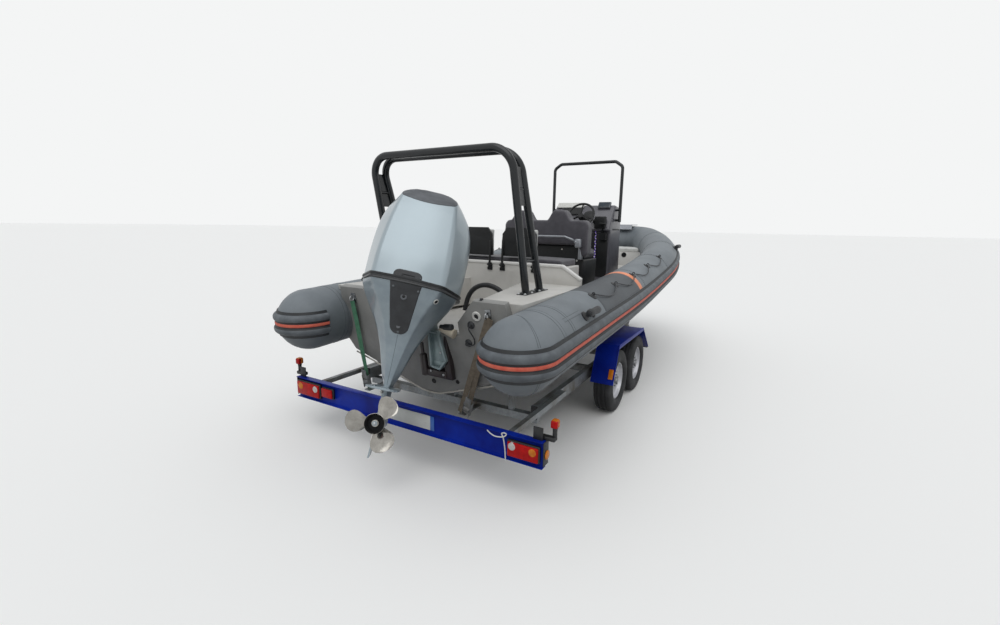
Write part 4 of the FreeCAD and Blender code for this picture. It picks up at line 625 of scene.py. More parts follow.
# Arch and frames: stainless tube bent to shape, powder coated gloss black, its foot plates
# bolted down through the deck.
black_powder_coat = surface("black_powder_coat", "#101316", "#1a1f23", 120, 2.5, 0.02, roughness=0.24)
dress(black_powder_coat, "arch_hoops")
dress(black_powder_coat, "arch_fittings", "screen_frame", bevel=0.002)
BOLT = ((0, 0.013), (0.0015, 0.013), (0.002, 0.009), (0.006, 0.0085), (0.0085, 0.005))
stainless = surface("stainless_fastener", "#a9abac", "#c2c4c5", 30, 1.5, 0.02, metallic=1.0, roughness=0.3)
HOOP_FOOT_X = 0.363
HOOP_FOOT_Y = 0.686
HOOP_FOOT_Z = 1.296
bm = bmesh.new()
for way in (1, -1):
    for x in (-0.062, 0.054, 0.194, 0.311):
        for y in (-0.030, 0.026):
            lathe(bm, BOLT, boat(HOOP_FOOT_X + x, way * (HOOP_FOOT_Y + y), HOOP_FOOT_Z), (0, 0, 1), 12)
shaped("arch_foot_bolts", bm, stainless, crease=50)
bm = bmesh.new()
for way in (1, -1):
    for x in (0.0, 0.249):
        lathe(bm, ((0, 0.046), (0.004, 0.046), (0.010, 0.036), (0.013, 0.0305)),
              boat(HOOP_FOOT_X + x, way * HOOP_FOOT_Y, HOOP_FOOT_Z), (0, 0, 1), 32)
shaped("arch_foot_collars", bm, black_powder_coat)

# Outboard's upper cowl: one pressed cover in silver metallic lacquer. Its rear face lies between
# two soft ridges, and its top is cut off on a slope, where the cap is set in.
TILT_AT = boat(-0.035, 0, 1.170)
TILT = math.radians(22.5)
STEER = math.radians(33.0)
STEER_BACK = 0.170
ENGINE = (Matrix.Translation(TILT_AT) @ Matrix.Rotation(TILT, 4, "Y")
          @ Matrix.Translation((-STEER_BACK, 0, 0)) @ Matrix.Rotation(STEER, 4, "Z")
          @ Matrix.Translation((STEER_BACK, 0, 0)))
REAR_CROWN = 0.2          # slope of the two halves of the rear face
REAR_ARC = 3              # radius of the bow that joins them, in half widths of the face
ARC_END = 0.588           # where the bow ends, and its centre, in half widths
ARC_CENTRE = 3.059
# Millimetres: height, stations of the front, the widest part and the rear, half width at each
# of the three, corner radius at each of the three
COWL = [
    (95, 62, -300, -630, 250, 374, 246, 110, 260, 60), (240, 60, -300, -630, 262, 376, 244, 120, 260, 60),
    (380, 40, -300, -614, 258, 378, 236, 120, 250, 60), (520, -20, -310, -590, 240, 368, 222, 110, 220, 56),
    (620, -95, -320, -566, 205, 332, 208, 100, 170, 50), (690, -160, -340, -545, 172, 268, 200, 90, 140, 44),
    (745, -215, -355, -528, 130, 212, 180, 70, 110, 40), (790, -290, -375, -480, 84, 140, 120, 45, 70, 30),
    (808, -340, -390, -440, 50, 80, 66, 25, 40, 18),
]
RING_MM = 12              # height between two rings of a cowl
SEAM_AT = Vector((-0.548, 0, 0.652))
SEAM_SLOPE = math.radians(41.0)
SEAM_GAP = 0.0018         # between the cover's cut edge and the cap


def plan_ring(z, front, waist, rear, half_front, half_waist, half_rear, r_front, r_waist, r_rear, steps=9):
    """Points round a plan outline with rounded corners and a bowed rear, in metres in the engine's frame."""
    ridge = rear + REAR_CROWN * half_rear
    corners = [(front, -half_front, r_front), (front, half_front, r_front), (waist, half_waist, r_waist),
               (ridge, half_rear, r_rear), (rear, 0, REAR_ARC * half_rear), (ridge, -half_rear, r_rear),
               (waist, -half_waist, r_waist)]
    ring = []
    for i, (x, y, r) in enumerate(corners):
        here = Vector((x, y))
        a = (Vector(corners[i - 1][:2]) - here).normalized()
        b = (Vector(corners[(i + 1) % 7][:2]) - here).normalized()
        half = a.angle(b) / 2
        centre = here + (a + b).normalized() * (r / math.sin(half))
        p = here + a * (r / math.tan(half)) - centre
        q = here + b * (r / math.tan(half)) - centre
        turn = p.angle(q)
        for k in range(steps):
            t = k / (steps - 1)
            spot = centre + (p * math.sin((1 - t) * turn) + q * math.sin(t * turn)) / math.sin(turn)
            ring.append(Vector((spot.x, spot.y, z)) / 1000)
    return ring


def between(table, z):
    """Row of a table at a height, on a smooth curve through its rows."""
    k = max([i for i in range(len(table) - 1) if table[i][0] <= z] or [0])
    rows = [table[max(k - 1, 0)], table[k], table[k + 1], table[min(k + 2, len(table) - 1)]]
    t = (z - table[k][0]) / (table[k + 1][0] - table[k][0])
    row = [z]
    for a, b, c, d in list(zip(*rows))[1:]:
        slope_a, slope_b = (c - a) / 2, (d - b) / 2
        h = (2 * t ** 3 - 3 * t ** 2 + 1) * b + (t ** 3 - 2 * t ** 2 + t) * slope_a
        row.append(h + (3 * t ** 2 - 2 * t ** 3) * c + (t ** 3 - t ** 2) * slope_b)
    return row


def shell(table):
    """Rings of a cowl at even heights from its table."""
    low, high = table[0][0], table[-1][0]
    count = math.ceil((high - low) / RING_MM)
    rows = [between(table, low + (high - low) * k / count) for k in range(count)] + [table[-1]]
    return [plan_ring(*row, steps=11) for row in rows]


def rear_face(table, y, z, proud=0.0):
    """Point on a cowl's rear face at a place across and a height, in millimetres, placed in the frame."""
    row = between(table, z)
    rear, half = row[3], row[6]
    if abs(y) < ARC_END * half:
        x = rear + ARC_CENTRE * half - math.sqrt((REAR_ARC * half) ** 2 - y * y)
    else:
        x = rear + REAR_CROWN * abs(y)
    return ENGINE @ (Vector((x - proud, y, z)) / 1000)


def raised_skin(table, heights, half_width, lift, across):
    """Sheet on a rear face: a half width at each height, and a lift in mm at each place on it."""
    rings = []
    for z in heights:
        w = half_width(z)
        spots = [w * (2 * i / across - 1) for i in range(across + 1)]
        rings.append([rear_face(table, y, z, lift(y, z, w)) for y in spots])
    return loft(rings)


# silver lacquer: fine metal flake under clear coat, which shows the sky in soft bands
silver_lacquer, tree, bsdf = material("silver_metallic_lacquer", metallic=0.45, roughness=0.36, coat_weight=0.6,
                                      coat_roughness=0.14)
where = add(tree, "TexCoord").outputs["Object"]
cloudy = mixed(tree, noise(tree, where, 4.0, 3.0), "#9eabb1", "#aebabf")
finish(tree, bsdf, mixed(tree, noise(tree, where, 900.0, 2.0), "#929fa6", cloudy))

seam_up = Vector((-math.sin(SEAM_SLOPE), 0, math.cos(SEAM_SLOPE)))
seam_along = Vector((math.cos(SEAM_SLOPE), 0, math.sin(SEAM_SLOPE)))
bm = loft(shell(COWL), closed=True, ends=True)
everything = bm.verts[:] + bm.edges[:] + bm.faces[:]
cut = bmesh.ops.bisect_plane(bm, geom=everything, plane_co=SEAM_AT, plane_no=seam_up, clear_outer=True)
cut_edges = [e for e in cut["geom_cut"] if isinstance(e, bmesh.types.BMEdge)]
cut_points = [v.co - SEAM_AT for v in cut["geom_cut"] if isinstance(v, bmesh.types.BMVert)]
seam_outline = [Vector((p.dot(seam_along), p.y)) for p in cut_points]
bmesh.ops.contextual_create(bm, geom=cut_edges)
rounded(bm, cut_edges, 0.004, 3)
bmesh.ops.transform(bm, matrix=ENGINE, verts=bm.verts)
shaped("upper_cowl", bm, silver_lacquer, "outboard", crease=36, replaces="cowl_upper")

# Lower cowl: two silver half shells bolted together down the back, running in to the leg, with
# the steering pin that they turn on and its two arms.
LOWER = [
    (-640, -225, -285, -354, 30, 34, 22, 12, 25, 9), (-560, -230, -290, -358, 55, 66, 30, 24, 36, 12),
    (-450, -235, -300, -376, 80, 105, 48, 34, 48, 16), (-330, -240, -305, -410, 110, 152, 74, 40, 54, 24),
    (-200, -243, -310, -474, 155, 222, 112, 46, 68, 34), (-80, -245, -315, -554, 205, 310, 165, 50, 84, 45),
    (10, -245, -325, -602, 240, 362, 216, 50, 104, 52), (60, -245, -330, -626, 250, 374, 242, 50, 110, 56),
]
ENGINE_TURN = ENGINE.to_3x3().to_4x4()
PAN = [(30, 45, -120, -310, 150, 225, 200, 60, 60, 10), (60, 60, -120, -310, 210, 290, 260, 90, 80, 10)]
bm = loft([[ENGINE @ p for p in ring] for ring in shell(LOWER)], closed=True, ends=True)
lower_lacquer = surface("lower_cowl_lacquer", "#7c8890", "#8d999f", 150, 1.2, 0.02, metallic=0.45, roughness=0.36,
                        coat_weight=0.5)
lower = shaped("lower_cowl", bm, lower_lacquer, "outboard", crease=40)
bracket_lacquer = surface("bracket_lacquer", "#7b8a8c", "#96a5a6", 90, 1.5, 0.1, metallic=0.3, roughness=0.42)
bm = loft([[ENGINE @ p for p in plan_ring(*row)] for row in PAN], closed=True, ends=True)
PIN = ((-0.346, 0.034), (-0.334, 0.034), (-0.333, 0.020), (0.009, 0.020), (0.010, 0.040), (0.020, 0.040),
       (0.021, 0.020), (0.034, 0.018))
lathe(bm, PIN, ENGINE @ Vector((-STEER_BACK, 0, 0)), ENGINE.to_3x3() @ Vector((0, 0, 1)), 24)
for z, thick, half_width in ((-0.340, 0.012, 0.034), (0.015, 0.010, 0.040)):
    block(bm, ENGINE @ Vector((-0.220, 0, z)), (0.100, 2 * half_width, thick), 0.003, ENGINE_TURN)
shaped("steering_pin_and_pan", bm, bracket_lacquer, "outboard", crease=40,
       replaces="cowl_lower")

# Cap, seal and apron: a dark grey moulded cap over the air intake, the black rubber seal that
# runs in a double ridge round the joint of the two cowls, and a black moulded access apron
# screwed to the rear face below it, with a grip tab above for lifting the cover.
CAP_RISE = 0.016
CAP_CHORD = 0.250
CAP_EDGE = 0.0035         # height of the cap's top where its bow begins
CAP_STEPS = ((0.0, -1.0), (0.0, 1.5), (2.0, 4.0), (6.0, 6.5), (14.0, 9.0), (28.0, 16.0), (45.0, 16.0), (70.0, 16.0),
             (100.0, 16.0))
BAND = (66, -300, -638, 254, 380, 250, 112, 262, 62)
BAND_SECTION = ((55, -7), (55.5, -1), (58, 3.5), (67, 3.5), (71, 0), (74, -3), (79, -3), (82, 0), (86, 3.5),
                (94, 3.5), (96.5, -1), (97, -7))
APRON = ((58, 109), (30, 104), (0, 99), (-60, 91), (-120, 82), (-180, 73), (-220, 68), (-240, 62), (-256, 50),
         (-266, 36), (-272, 20), (-274, 6))
GRIP = ((97, 98), (112, 97), (122, 94), (130, 88), (136, 80), (140, 70), (142, 60))
APRON_FOOT = 276
APRON_LIFT = 5.0          # height off the cowl and radius of the border
APRON_ROLL = 5.0
DISH = 1.6                # depth of the dish, the border beside it and the run of its slope
DISH_BORDER = 10
DISH_SLOPE = 5.0
LAND_Z = 4                # below it the apron is dished
GRIP_HEAD = 143
GRIP_LIFT = 5.5
GRIP_ROLL = 6.0
SLOT_Y = (-50, 36)
SLOT_Z = (97, 112)
SLOT = 5.0                # depth of the finger slot and the run of its slope
SLOT_SLOPE = 3.0
cap_plastic = surface("cap_plastic", "#505357", "#626569", 80, 1.2, 0.15, roughness=0.5)
seal_rubber = surface("seal_rubber", "#131517", "#222529", 60, 1.0, 0.1, roughness=0.4)
shield_plastic = surface("shield_plastic", "#1f2023", "#2e3033", 70, 0.9, 0.3, roughness=0.45)

middle = sum(seam_outline, Vector((0, 0))) / len(seam_outline)
middle.y = 0
seam_outline.sort(key=lambda p: math.atan2(p.y - middle.y, p.x - middle.x))
bow_r = (CAP_CHORD ** 2 / 4 + CAP_RISE ** 2) / (2 * CAP_RISE)
rings = []
for inward, high in CAP_STEPS:
    ring = []
    for p in seam_outline:
        run = p - middle
        spot = middle + run * max(0.0, 1 - (inward / 1000 + SEAM_GAP) / run.length)
        if inward == CAP_STEPS[-1][0]:
            spot = middle
        bow = max(0.0, math.sqrt(bow_r ** 2 - (spot.x - CAP_CHORD / 2) ** 2) - bow_r + CAP_RISE)
        height = high / 1000 if high < 0 else min(high / 1000, CAP_EDGE + bow)
        ring.append(ENGINE @ (SEAM_AT + seam_along * spot.x + Vector((0, spot.y, 0)) + seam_up * height))
    rings.append(ring)
bm = loft(rings, closed=True)
bm.faces.new(list(bm.verts)[:len(seam_outline)][::-1])
shaped("cowl_cap", bm, cap_plastic, "outboard", crease=50, replaces="cowl_trim")
band_rings = []
for z, grow in BAND_SECTION:
    front, waist, rear, hf, hw, hr, rf, rw, rr = BAND
    band_rings.append([ENGINE @ p for p in plan_ring(z, front + grow, waist, rear - grow, hf + grow, hw + grow,
                                                     hr + grow, rf, rw, rr)])
shaped("cowl_seal", loft(band_rings, closed=True, ends=True), seal_rubber, "outboard", crease=50)


def width_in(table, z):
    """Half width between the rows of a table of (height, half width)."""
    rows = sorted(table)
    for (z0, w0), (z1, w1) in zip(rows, rows[1:]):
        if z <= z1:
            return w0 + (w1 - w0) * (z - z0) / (z1 - z0)
    return rows[-1][1]


def rolled(edge, high, round_):
    """Height of a moulding at a distance from its border, which is rolled and sunk into the cowl."""
    rise = high * min(1.0, (max(edge, 0) / round_)) ** 0.5
    return rise - 1.0 if edge <= 0.01 else rise


def apron_lift(y, z, w):
    """Rolled border, a shallow dish inside it and a flat land under the seal for the top screws."""
    edge = min(w - abs(y), z + APRON_FOOT)
    dish = min((edge - DISH_BORDER) / DISH_SLOPE, (LAND_Z - z) / DISH_SLOPE)
    return rolled(edge, APRON_LIFT, APRON_ROLL) - DISH * max(0.0, min(1.0, dish))


def grip_lift(y, z, w):
    """Rolled border, with the finger slot pressed in."""
    inside = min(y - SLOT_Y[0], SLOT_Y[1] - y, z - SLOT_Z[0] + 4, SLOT_Z[1] - z)
    edge = min(w - abs(y), GRIP_HEAD - z)
    return rolled(edge, GRIP_LIFT, GRIP_ROLL) - SLOT * max(0.0, min(1.0, inside / SLOT_SLOPE))


heights = [APRON[0][0] - 3.4 * k for k in range(98)]
shaped("rear_apron", raised_skin(LOWER, heights, lambda z: width_in(APRON, z), apron_lift, 40),
       shield_plastic, "outboard", crease=60)
heights = [GRIP[0][0] + 1.8 * k for k in range(26)]
shaped("grip_tab", raised_skin(COWL, heights, lambda z: width_in(GRIP, z), grip_lift, 56),
       shield_plastic, "outboard", crease=60)

# Screws, plug and seam of the cowls: dull steel screws in washers, a plastic plug over the flushing port, a vent
# with a raised rim, painted pale as a highlight on its lip, and the line where the two half shells meet down the
# back.
engine_out = ENGINE.to_3x3() @ Vector((-1, 0, 0))
stainless_screw = surface("stainless_screw", "#8f9193", "#adafb1", 30, 1.5, 0.02, metallic=1.0, roughness=0.35)
seam_dark = surface("seam_shadow", "#39444a", "#465157", 40, 1.0, 0.05, roughness=0.7)
bm = bmesh.new()
for y, z in ((79, 24), (-89, 22), (1, -258)):
    lathe(bm, ((0, 0.0085), (0.0015, 0.0085), (0.002, 0.006), (0.0045, 0.0055), (0.005, 0.0025), (0.003, 0.002)),
          rear_face(LOWER, y, z, 3.6), engine_out, 16)
lathe(bm, ((0, 0.006), (0.002, 0.006), (0.0035, 0.004)), rear_face(COWL, -86, 108, 5.0), engine_out, 12)
dull_screw = surface("dull_screw", "#474a4d", "#5c6063", 30, 1.5, 0.02, metallic=0.8, roughness=0.4)
shaped("apron_screws", bm, dull_screw, "outboard", crease=50)
bm = bmesh.new()
lathe(bm, ((0, 0.022), (0.003, 0.022), (0.0055, 0.0185), (0.0055, 0.012), (0.002, 0.0105)),
      rear_face(LOWER, -2, -30, 3.0), engine_out, 28)
lathe(bm, ((0, 0.014), (0.0015, 0.0135), (0.002, 0.010), (0.001, 0.008)), rear_face(LOWER, 4, -222, 3.2),
      engine_out, 24)
shaped("flushing_plug", bm, cap_plastic, "outboard")
port = lower.closest_point_on_mesh(ENGINE @ Vector((-0.573, -0.258, -0.045)))
# raised ring round the vent: modelled, its pale colour painted highlight on the hole's lip
bm = bmesh.new()
lathe(bm, ((-0.001, 0.0195), (0.002, 0.0195), (0.0035, 0.0175), (0.0035, 0.014), (0.001, 0.0135)), port[1],
      port[2], 28)
shaped("vent_rim", bm, pale_nylon, "outboard")
# dark discs in the vent and in the middle of the plug: painted shade inside their holes
bm = bmesh.new()
lathe(bm, ((0, 0.0138), (0.0015, 0.0136)), port[1], port[2], 24)
lathe(bm, ((0, 0.0106), (0.0012, 0.0104)), rear_face(LOWER, -2, -30, 4.6), engine_out, 20)
shaped("vent_bore", bm, hole_shade_paint, "outboard")
spline("half_shell_seam", [rear_face(LOWER, 0, z, 0.1) for z in range(-278, -636, -14)], 0.0011, seam_dark,
       "outboard")

# Leg: cast aluminium in the same silver, with its flat anti-ventilation plate, gearcase and skeg,
# and a dull zinc anode bolted under the plate.
AV_PLATE = [(-0.190, 0.040), (-0.240, 0.072), (-0.300, 0.096), (-0.420, 0.104), (-0.530, 0.106), (-0.565, 0.088),
            (-0.580, 0.060), (-0.582, 0.0)]
leg_silver = surface("leg_silver", "#7c888f", "#8d999f", 120, 1.5, 0.05, metallic=0.45, roughness=0.34,
                     coat_weight=0.4)
dress(leg_silver, "gearcase", bevel=0.0025)
bm = bmesh.new()
plate(bm, AV_PLATE + [(x, -y) for x, y in AV_PLATE[-2::-1]], ENGINE @ Matrix.Translation((0, 0, -0.6565)), 0.0145,
      0.004)
for y in (-0.045, 0.045):
    block(bm, ENGINE @ Vector((-0.43, y, -0.641)), (0.26, 0.007, 0.012), 0.003, ENGINE_TURN)
shaped("anti_ventilation_plate", bm, leg_silver, "outboard", crease=40)
zinc_anode = surface("zinc_anode", "#8d8f8e", "#a5a6a3", 25, 2.0, 0.4, metallic=0.6, roughness=0.6)
bm = bmesh.new()
block(bm, ENGINE @ Vector((-0.482, 0, -0.668)), (0.064, 0.012, 0.030), 0.004, ENGINE_TURN)
shaped("trim_anode", bm, zinc_anode, "outboard")

# Propeller: three raked blades on a flared hub, one stainless casting, ground and polished. A
# hexagon nut holds it on its shaft inside the bore, where the exhaust comes out.
PROP_FRONT = -0.375
HUB_SIDES = 48
SHAFT_Z = -0.886
HUB = ((0.0, 0.009), (0.0, 0.052), (0.003, 0.0535), (0.060, 0.060), (0.088, 0.062), (0.098, 0.066), (0.1025, 0.068),
       (0.103, 0.0665), (0.098, 0.063), (0.040, 0.053), (0.040, 0.024), (0.075, 0.023), (0.075, 0.009))
BLADE = ((54, 55, 54, 9.5, 1), (70, 66, 47, 8.5, 4), (95, 80, 38, 7.5, 8), (118, 86, 32, 6.5, 13),
         (140, 86, 27, 5.8, 18), (160, 77, 24, 5, 22), (178, 62, 22, 4.2, 26), (190, 40, 21, 3.4, 29.5),
         (196, 22, 20, 2.6, 31))
BLADE_BACK = 52           # from the hub's front to the middle of a blade's root, in millimetres
FIRST_BLADE = 25          # degrees
BLADE_SECTION = ((-1.0, 0.0), (-0.97, -0.28), (-0.8, -0.42), (-0.4, -0.5), (0.0, -0.5), (0.45, -0.42),
                 (0.85, -0.22), (1.0, 0.0), (0.85, 0.22), (0.45, 0.42), (0.0, 0.5), (-0.4, 0.5),
                 (-0.8, 0.42), (-0.97, 0.28))
propeller_steel = surface("propeller_steel", "#8d8a85", "#a9a6a0", 60, 2.0, 0.03, metallic=1.0, roughness=0.14)
prop_place = ENGINE @ Matrix.Translation((0, 0, SHAFT_Z))


def hub_form(bm, profile):
    """Turns pairs of distance back and radius about the propeller's shaft."""
    turns = [2 * math.pi * i / HUB_SIDES for i in range(HUB_SIDES)]
    skinned(bm, [[prop_place @ Vector((PROP_FRONT - back, radius * math.cos(t), radius * math.sin(t)))
                  for t in turns] for back, radius in profile])


# the bore inside the hub is coloured near black: painted shade
bm = bmesh.new()
hub_form(bm, ((0.0975, 0.0622), (0.0415, 0.0522), (0.0415, 0.0245), (0.072, 0.0237)))
shaped("exhaust_bore", bm, hole_shade_paint, "prop")
bm = bmesh.new()
for profile, sides in ((((0.074, 0.0155), (0.088, 0.0155), (0.090, 0.0135)), 6),
                       (((0.088, 0.0085), (0.099, 0.0085), (0.100, 0.007)), 16)):
    lathe(bm, profile, prop_place @ Vector((PROP_FRONT, 0, 0)), engine_out, sides)
shaped("propeller_nut", bm, stainless_screw, "prop", crease=40)
bm = bmesh.new()
hub_form(bm, HUB)
for k in range(3):
    turn = Matrix.Rotation(math.radians(120 * k + FIRST_BLADE), 4, "X")
    rows = []
    for r, half_chord, pitch, thick, rake in BLADE:
        a = math.radians(pitch)
        chord = Vector((math.sin(a), math.cos(a), 0))
        across = Vector((math.cos(a), -math.sin(a), 0))
        root = Vector((PROP_FRONT * 1000 - BLADE_BACK - rake, 0, r))
        rows.append([prop_place @ turn @ ((root + chord * (c * half_chord) + across * (t * thick)) / 1000)
                     for c, t in BLADE_SECTION])
    bm.faces.new(skinned(bm, rows)[-1])
shaped("propeller_casting", bm, propeller_steel, "prop", crease=50, replaces="propeller")

# Brackets: die cast aluminium in a duller silver green, ribbed, held by bolts that go through the
# transom, with the black steel tilt ram and its stop plate beside them.
dress(bracket_lacquer, "swivel_bracket", "clamp_bracket", bevel=0.004)
CASTING = [(-0.102, 1.006), (-0.188, 1.006), (-0.258, 0.793), (-0.205, 0.722), (-0.125, 0.735)]


def athwart(x):
    """Place of a plate that stands across the boat: X to port, Y up, its thickness aft."""
    return Matrix(((0, 0, -1, x + FIT_X), (1, 0, 0, 0), (0, 1, 0, 0), (0, 0, 0, 1)))


bm = bmesh.new()
plate(bm, CASTING, athwart(-0.083), 0.010, 0.002)
for a, b in zip(CASTING, CASTING[1:] + CASTING[:1]):
    a, b = boat(-0.102, *a), boat(-0.102, *b)
    lean = Matrix.Rotation(math.atan2((b - a).z, (b - a).y), 4, "X")
    block(bm, (a + b) / 2, (0.040, (b - a).length + 0.014, 0.018), 0.005, lean, 3)
block(bm, boat(-0.060, -0.185, 0.760), (0.075, 0.110, 0.040), 0.006)
shaped("clamp_casting", bm, bracket_lacquer, crease=40)
ram_black = surface("ram_black_paint", "#1a1516", "#2b2122", 50, 1.5, 0.1, roughness=0.4)
bm = bmesh.new()
plate(bm, [(-0.224, 0.990), (-0.242, 0.990), (-0.308, 0.640), (-0.240, 0.640)], athwart(-0.040), 0.050, 0.003)
lathe(bm, ((0, 0.020), (0.01, 0.030), (0.17, 0.030), (0.18, 0.022), (0.185, 0.014), (0.27, 0.014)),
      boat(-0.085, -0.045, 0.640), (-0.12, 0.05, 1), 24)
block(bm, boat(-0.060, -0.150, 0.672), (0.080, 0.200, 0.060), 0.010, segments=3)
shaped("tilt_ram_and_stop", bm, ram_black, crease=40)
bm = bmesh.new()
for y, z in ((-0.112, 0.690), (-0.232, 0.676), (-0.205, 0.850), (-0.200, 0.905), (-0.195, 0.960)):
    lathe(bm, ((-0.01, 0.010), (0, 0.010), (0.006, 0.0095), (0.008, 0.006)), boat(-0.100, y, z), (-1, 0, 0), 6)
shaped("casting_bolts", bm, stainless_screw, crease=40)
dress(stainless_screw, "transom_eyes", bevel=0.002)

# Trailer frame, axles and brackets: welded steel box section, hot dip galvanised, with the
# grey spangle dulled by road dirt. Black plastic caps close the rails' open ends.
spangle_zinc, tree, bsdf = material("galvanised_steel", metallic=0.6, roughness=0.52)
where = add(tree, "TexCoord").outputs["Object"]
spangle = add(tree, "TexVoronoi", {"Vector": where, "Scale": 85.0})
dirt = noise(tree, where, 7.0, 5.0)
zinc = mixed(tree, spangle.outputs["Color"], "#83878a", "#9b9fa1")
finish(tree, bsdf, mixed(tree, stretched(tree, dirt, 0.42, 0.72), zinc, "#655f56"), dirt, 0.4, 2.0)
dress(spangle_zinc, "trailer_frame", "cross_members", "axles", "roller_brackets", "winch_post", "coupling_head",
      bevel=0.0035)
dress(spangle_zinc, "winch", "jockey_sleeve", "jockey_leg", bevel=0.0015)
black_plastic = surface("black_moulded_plastic", "#121314", "#1f2022", 60, 1.2, 0.15, roughness=0.5)
RAIL_Y = 0.880
RAIL_Z = 0.415
RAIL_AFT = 0.180
bm = bmesh.new()
for way in (1, -1):
    block(bm, boat(RAIL_AFT - 0.003, way * RAIL_Y, RAIL_Z), (0.010, 0.054, 0.104), 0.003)
    for z in (-0.03, 0, 0.03):
        block(bm, boat(RAIL_AFT - 0.0085, way * RAIL_Y, RAIL_Z + z), (0.003, 0.036, 0.006), 0.001)
shaped("rail_end_caps", bm, black_plastic)
bm = bmesh.new()
HEX = ((-0.001, 0.011), (0.0005, 0.011), (0.001, 0.0085), (0.0070, 0.0085), (0.0075, 0.0075), (0.0075, 0.005),
       (0.011, 0.005))
for way in (1, -1):
    for x in (0.590, 1.500, 1.740, 2.215, 2.455):
        for z in (-0.025, 0.025):
            lathe(bm, HEX, boat(x, way * (RAIL_Y + 0.025), RAIL_Z + z), (0, way, 0), 6)
shaped("frame_bolts", bm, stainless, crease=30)

# Light board and mudguards: folded sheet steel in gloss blue enamel. The board is a channel
# with its lips turned aft. Each guard has a rolled bead along its outer edge, an amber
# reflector on its sloping rear face and a black rubber flap at its front end.
BOARD_X = -0.330 + FIT_X
BOARD_Z = 0.292
BOARD_HALF = 1.200
LIP = 0.028
blue_enamel = surface("blue_enamel", "#04197a", "#0a2ea2", 220, 2.5, 0.04, roughness=0.4, specular_ior_level=0.14)
softened("light_board", "light_board_channel", blue_enamel, 0.0022, 3)
softened("mudguards", "folded_mudguards", blue_enamel, 0.0016, 2)
GUARD_LINE = ((1.240, 0.365), (1.395, 0.713), (2.325, 0.713), (2.640, 0.430))
GUARD_OUT = 1.172
GUARD_IN = 0.950
bm = bmesh.new()
for way in (1, -1):
    for (x0, z0), (x1, z1) in zip(GUARD_LINE, GUARD_LINE[1:]):
        run = Vector((x1 - x0, 0, z1 - z0))
        for y in (GUARD_OUT - 0.006, GUARD_IN + 0.004):
            at = boat(x0, way * y, z0 + 0.001)
            radius = 0.006 if y > GUARD_IN + 0.1 else 0.0035
            lathe(bm, ((-0.001, radius * 0.8), (0, radius), (run.length, radius),
                       (run.length + 0.001, radius * 0.8)),
                  at, run, 12)
shaped("guard_beads", bm, blue_enamel)
lens_amber = surface("amber_lens_acrylic", "#c96a12", "#e58a24", 30, 3.0, 0.5, roughness=0.25,
                     specular_ior_level=0.3)
lens_red = surface("red_lens_acrylic", "#a80508", "#c9100f", 30, 3.0, 0.5, roughness=0.28, specular_ior_level=0.2)
lens_clear = surface("clear_lens_acrylic", "#b9b4ae", "#d8d5d0", 20, 3.0, 0.5, roughness=0.15, coat_weight=0.6)
rear_run = Vector((GUARD_LINE[1][0] - GUARD_LINE[0][0], 0, GUARD_LINE[1][1] - GUARD_LINE[0][1]))
lean = Matrix.Rotation(math.atan2(rear_run.x, rear_run.z), 4, "Y")
rear_out = Vector((-rear_run.z, 0, rear_run.x)).normalized()
bm = bmesh.new()
for way in (1, -1):
    at = boat(GUARD_LINE[0][0], way * 1.135, GUARD_LINE[0][1]) + rear_run * 0.26 + rear_out * 0.004
    block(bm, at, (0.008, 0.044, 0.096), 0.003, lean)
shaped("guard_reflectors", bm, lens_amber)
front_run = Vector((GUARD_LINE[3][0] - GUARD_LINE[2][0], 0, GUARD_LINE[3][1] - GUARD_LINE[2][1])).normalized()
bm = bmesh.new()
for way in (1, -1):
    top = boat(GUARD_LINE[3][0], way * (GUARD_OUT + GUARD_IN) / 2, GUARD_LINE[3][1]) - front_run * 0.05
    under = Vector((front_run.z, 0, -front_run.x)) * -0.006
    turn = Matrix.Rotation(math.atan2(-front_run.z, front_run.x), 4, "Y")
    block(bm, top + under + front_run * 0.045, (0.090, 0.190, 0.004), 0.0015, turn)
    for y in (-0.07, 0, 0.07):
        lathe(bm, HEX[1:5], top + Vector((0, y, 0)) + under * -0.6, Vector((-front_run.z, 0, front_run.x)), 10)
shaped("guard_flaps", bm, fitting_rubber)

# Lamps, plate and cord: moulded black housings with snapped-on acrylic lenses, screwed to the
# board, markers on rubber stalks, red aft and amber forward, a plain enamelled plate with its
# blue end, and a short white cord that ties the lamp cable to the board.
LAMP_L = 0.238
STALK_X = BOARD_X + 0.050
STALK_Y = 1.248
LAMP_Z = BOARD_Z + 0.088
PLATE_AT = Vector((BOARD_X, -0.042, BOARD_Z + 0.089))
PLATE_SIZE = (0.003, 0.484, 0.110)
bm = bmesh.new()
for way in (1, -1):
    block(bm, Vector((BOARD_X + 0.020, way * (BOARD_HALF + 0.003), BOARD_Z + 0.098)), (0.075, 0.006, 0.165), 0.003)
    block(bm, Vector((BOARD_X + 0.010, way * 1.150, BOARD_Z + 0.222)), (0.008, 0.070, 0.090), 0.003)
    block(bm, Vector((STALK_X - 0.010, way * 1.205, BOARD_Z + 0.196)), (0.040, 0.110, 0.030), 0.008, segments=3)
    lathe(bm, ((0.188, 0.013), (0.194, 0.016), (0.240, 0.015), (0.258, 0.016), (0.270, 0.019), (0.274, 0.019)),
          (STALK_X, way * STALK_Y, BOARD_Z), (0, 0, 1), 24)
block(bm, Vector((BOARD_X - 0.013, -1.180 + LAMP_L / 2, LAMP_Z)), (0.026, LAMP_L, 0.116), 0.007, segments=3)
block(bm, Vector((BOARD_X - 0.013, 1.190 - 0.148, LAMP_Z + 0.006)), (0.026, 0.296, 0.128), 0.009, segments=3)
block(bm, Vector((BOARD_X - 0.011, 0.805, LAMP_Z + 0.014)), (0.022, 0.140, 0.090), 0.007, segments=3)
shaped("lamp_housings", bm, black_plastic, replaces="trailer_lamps")


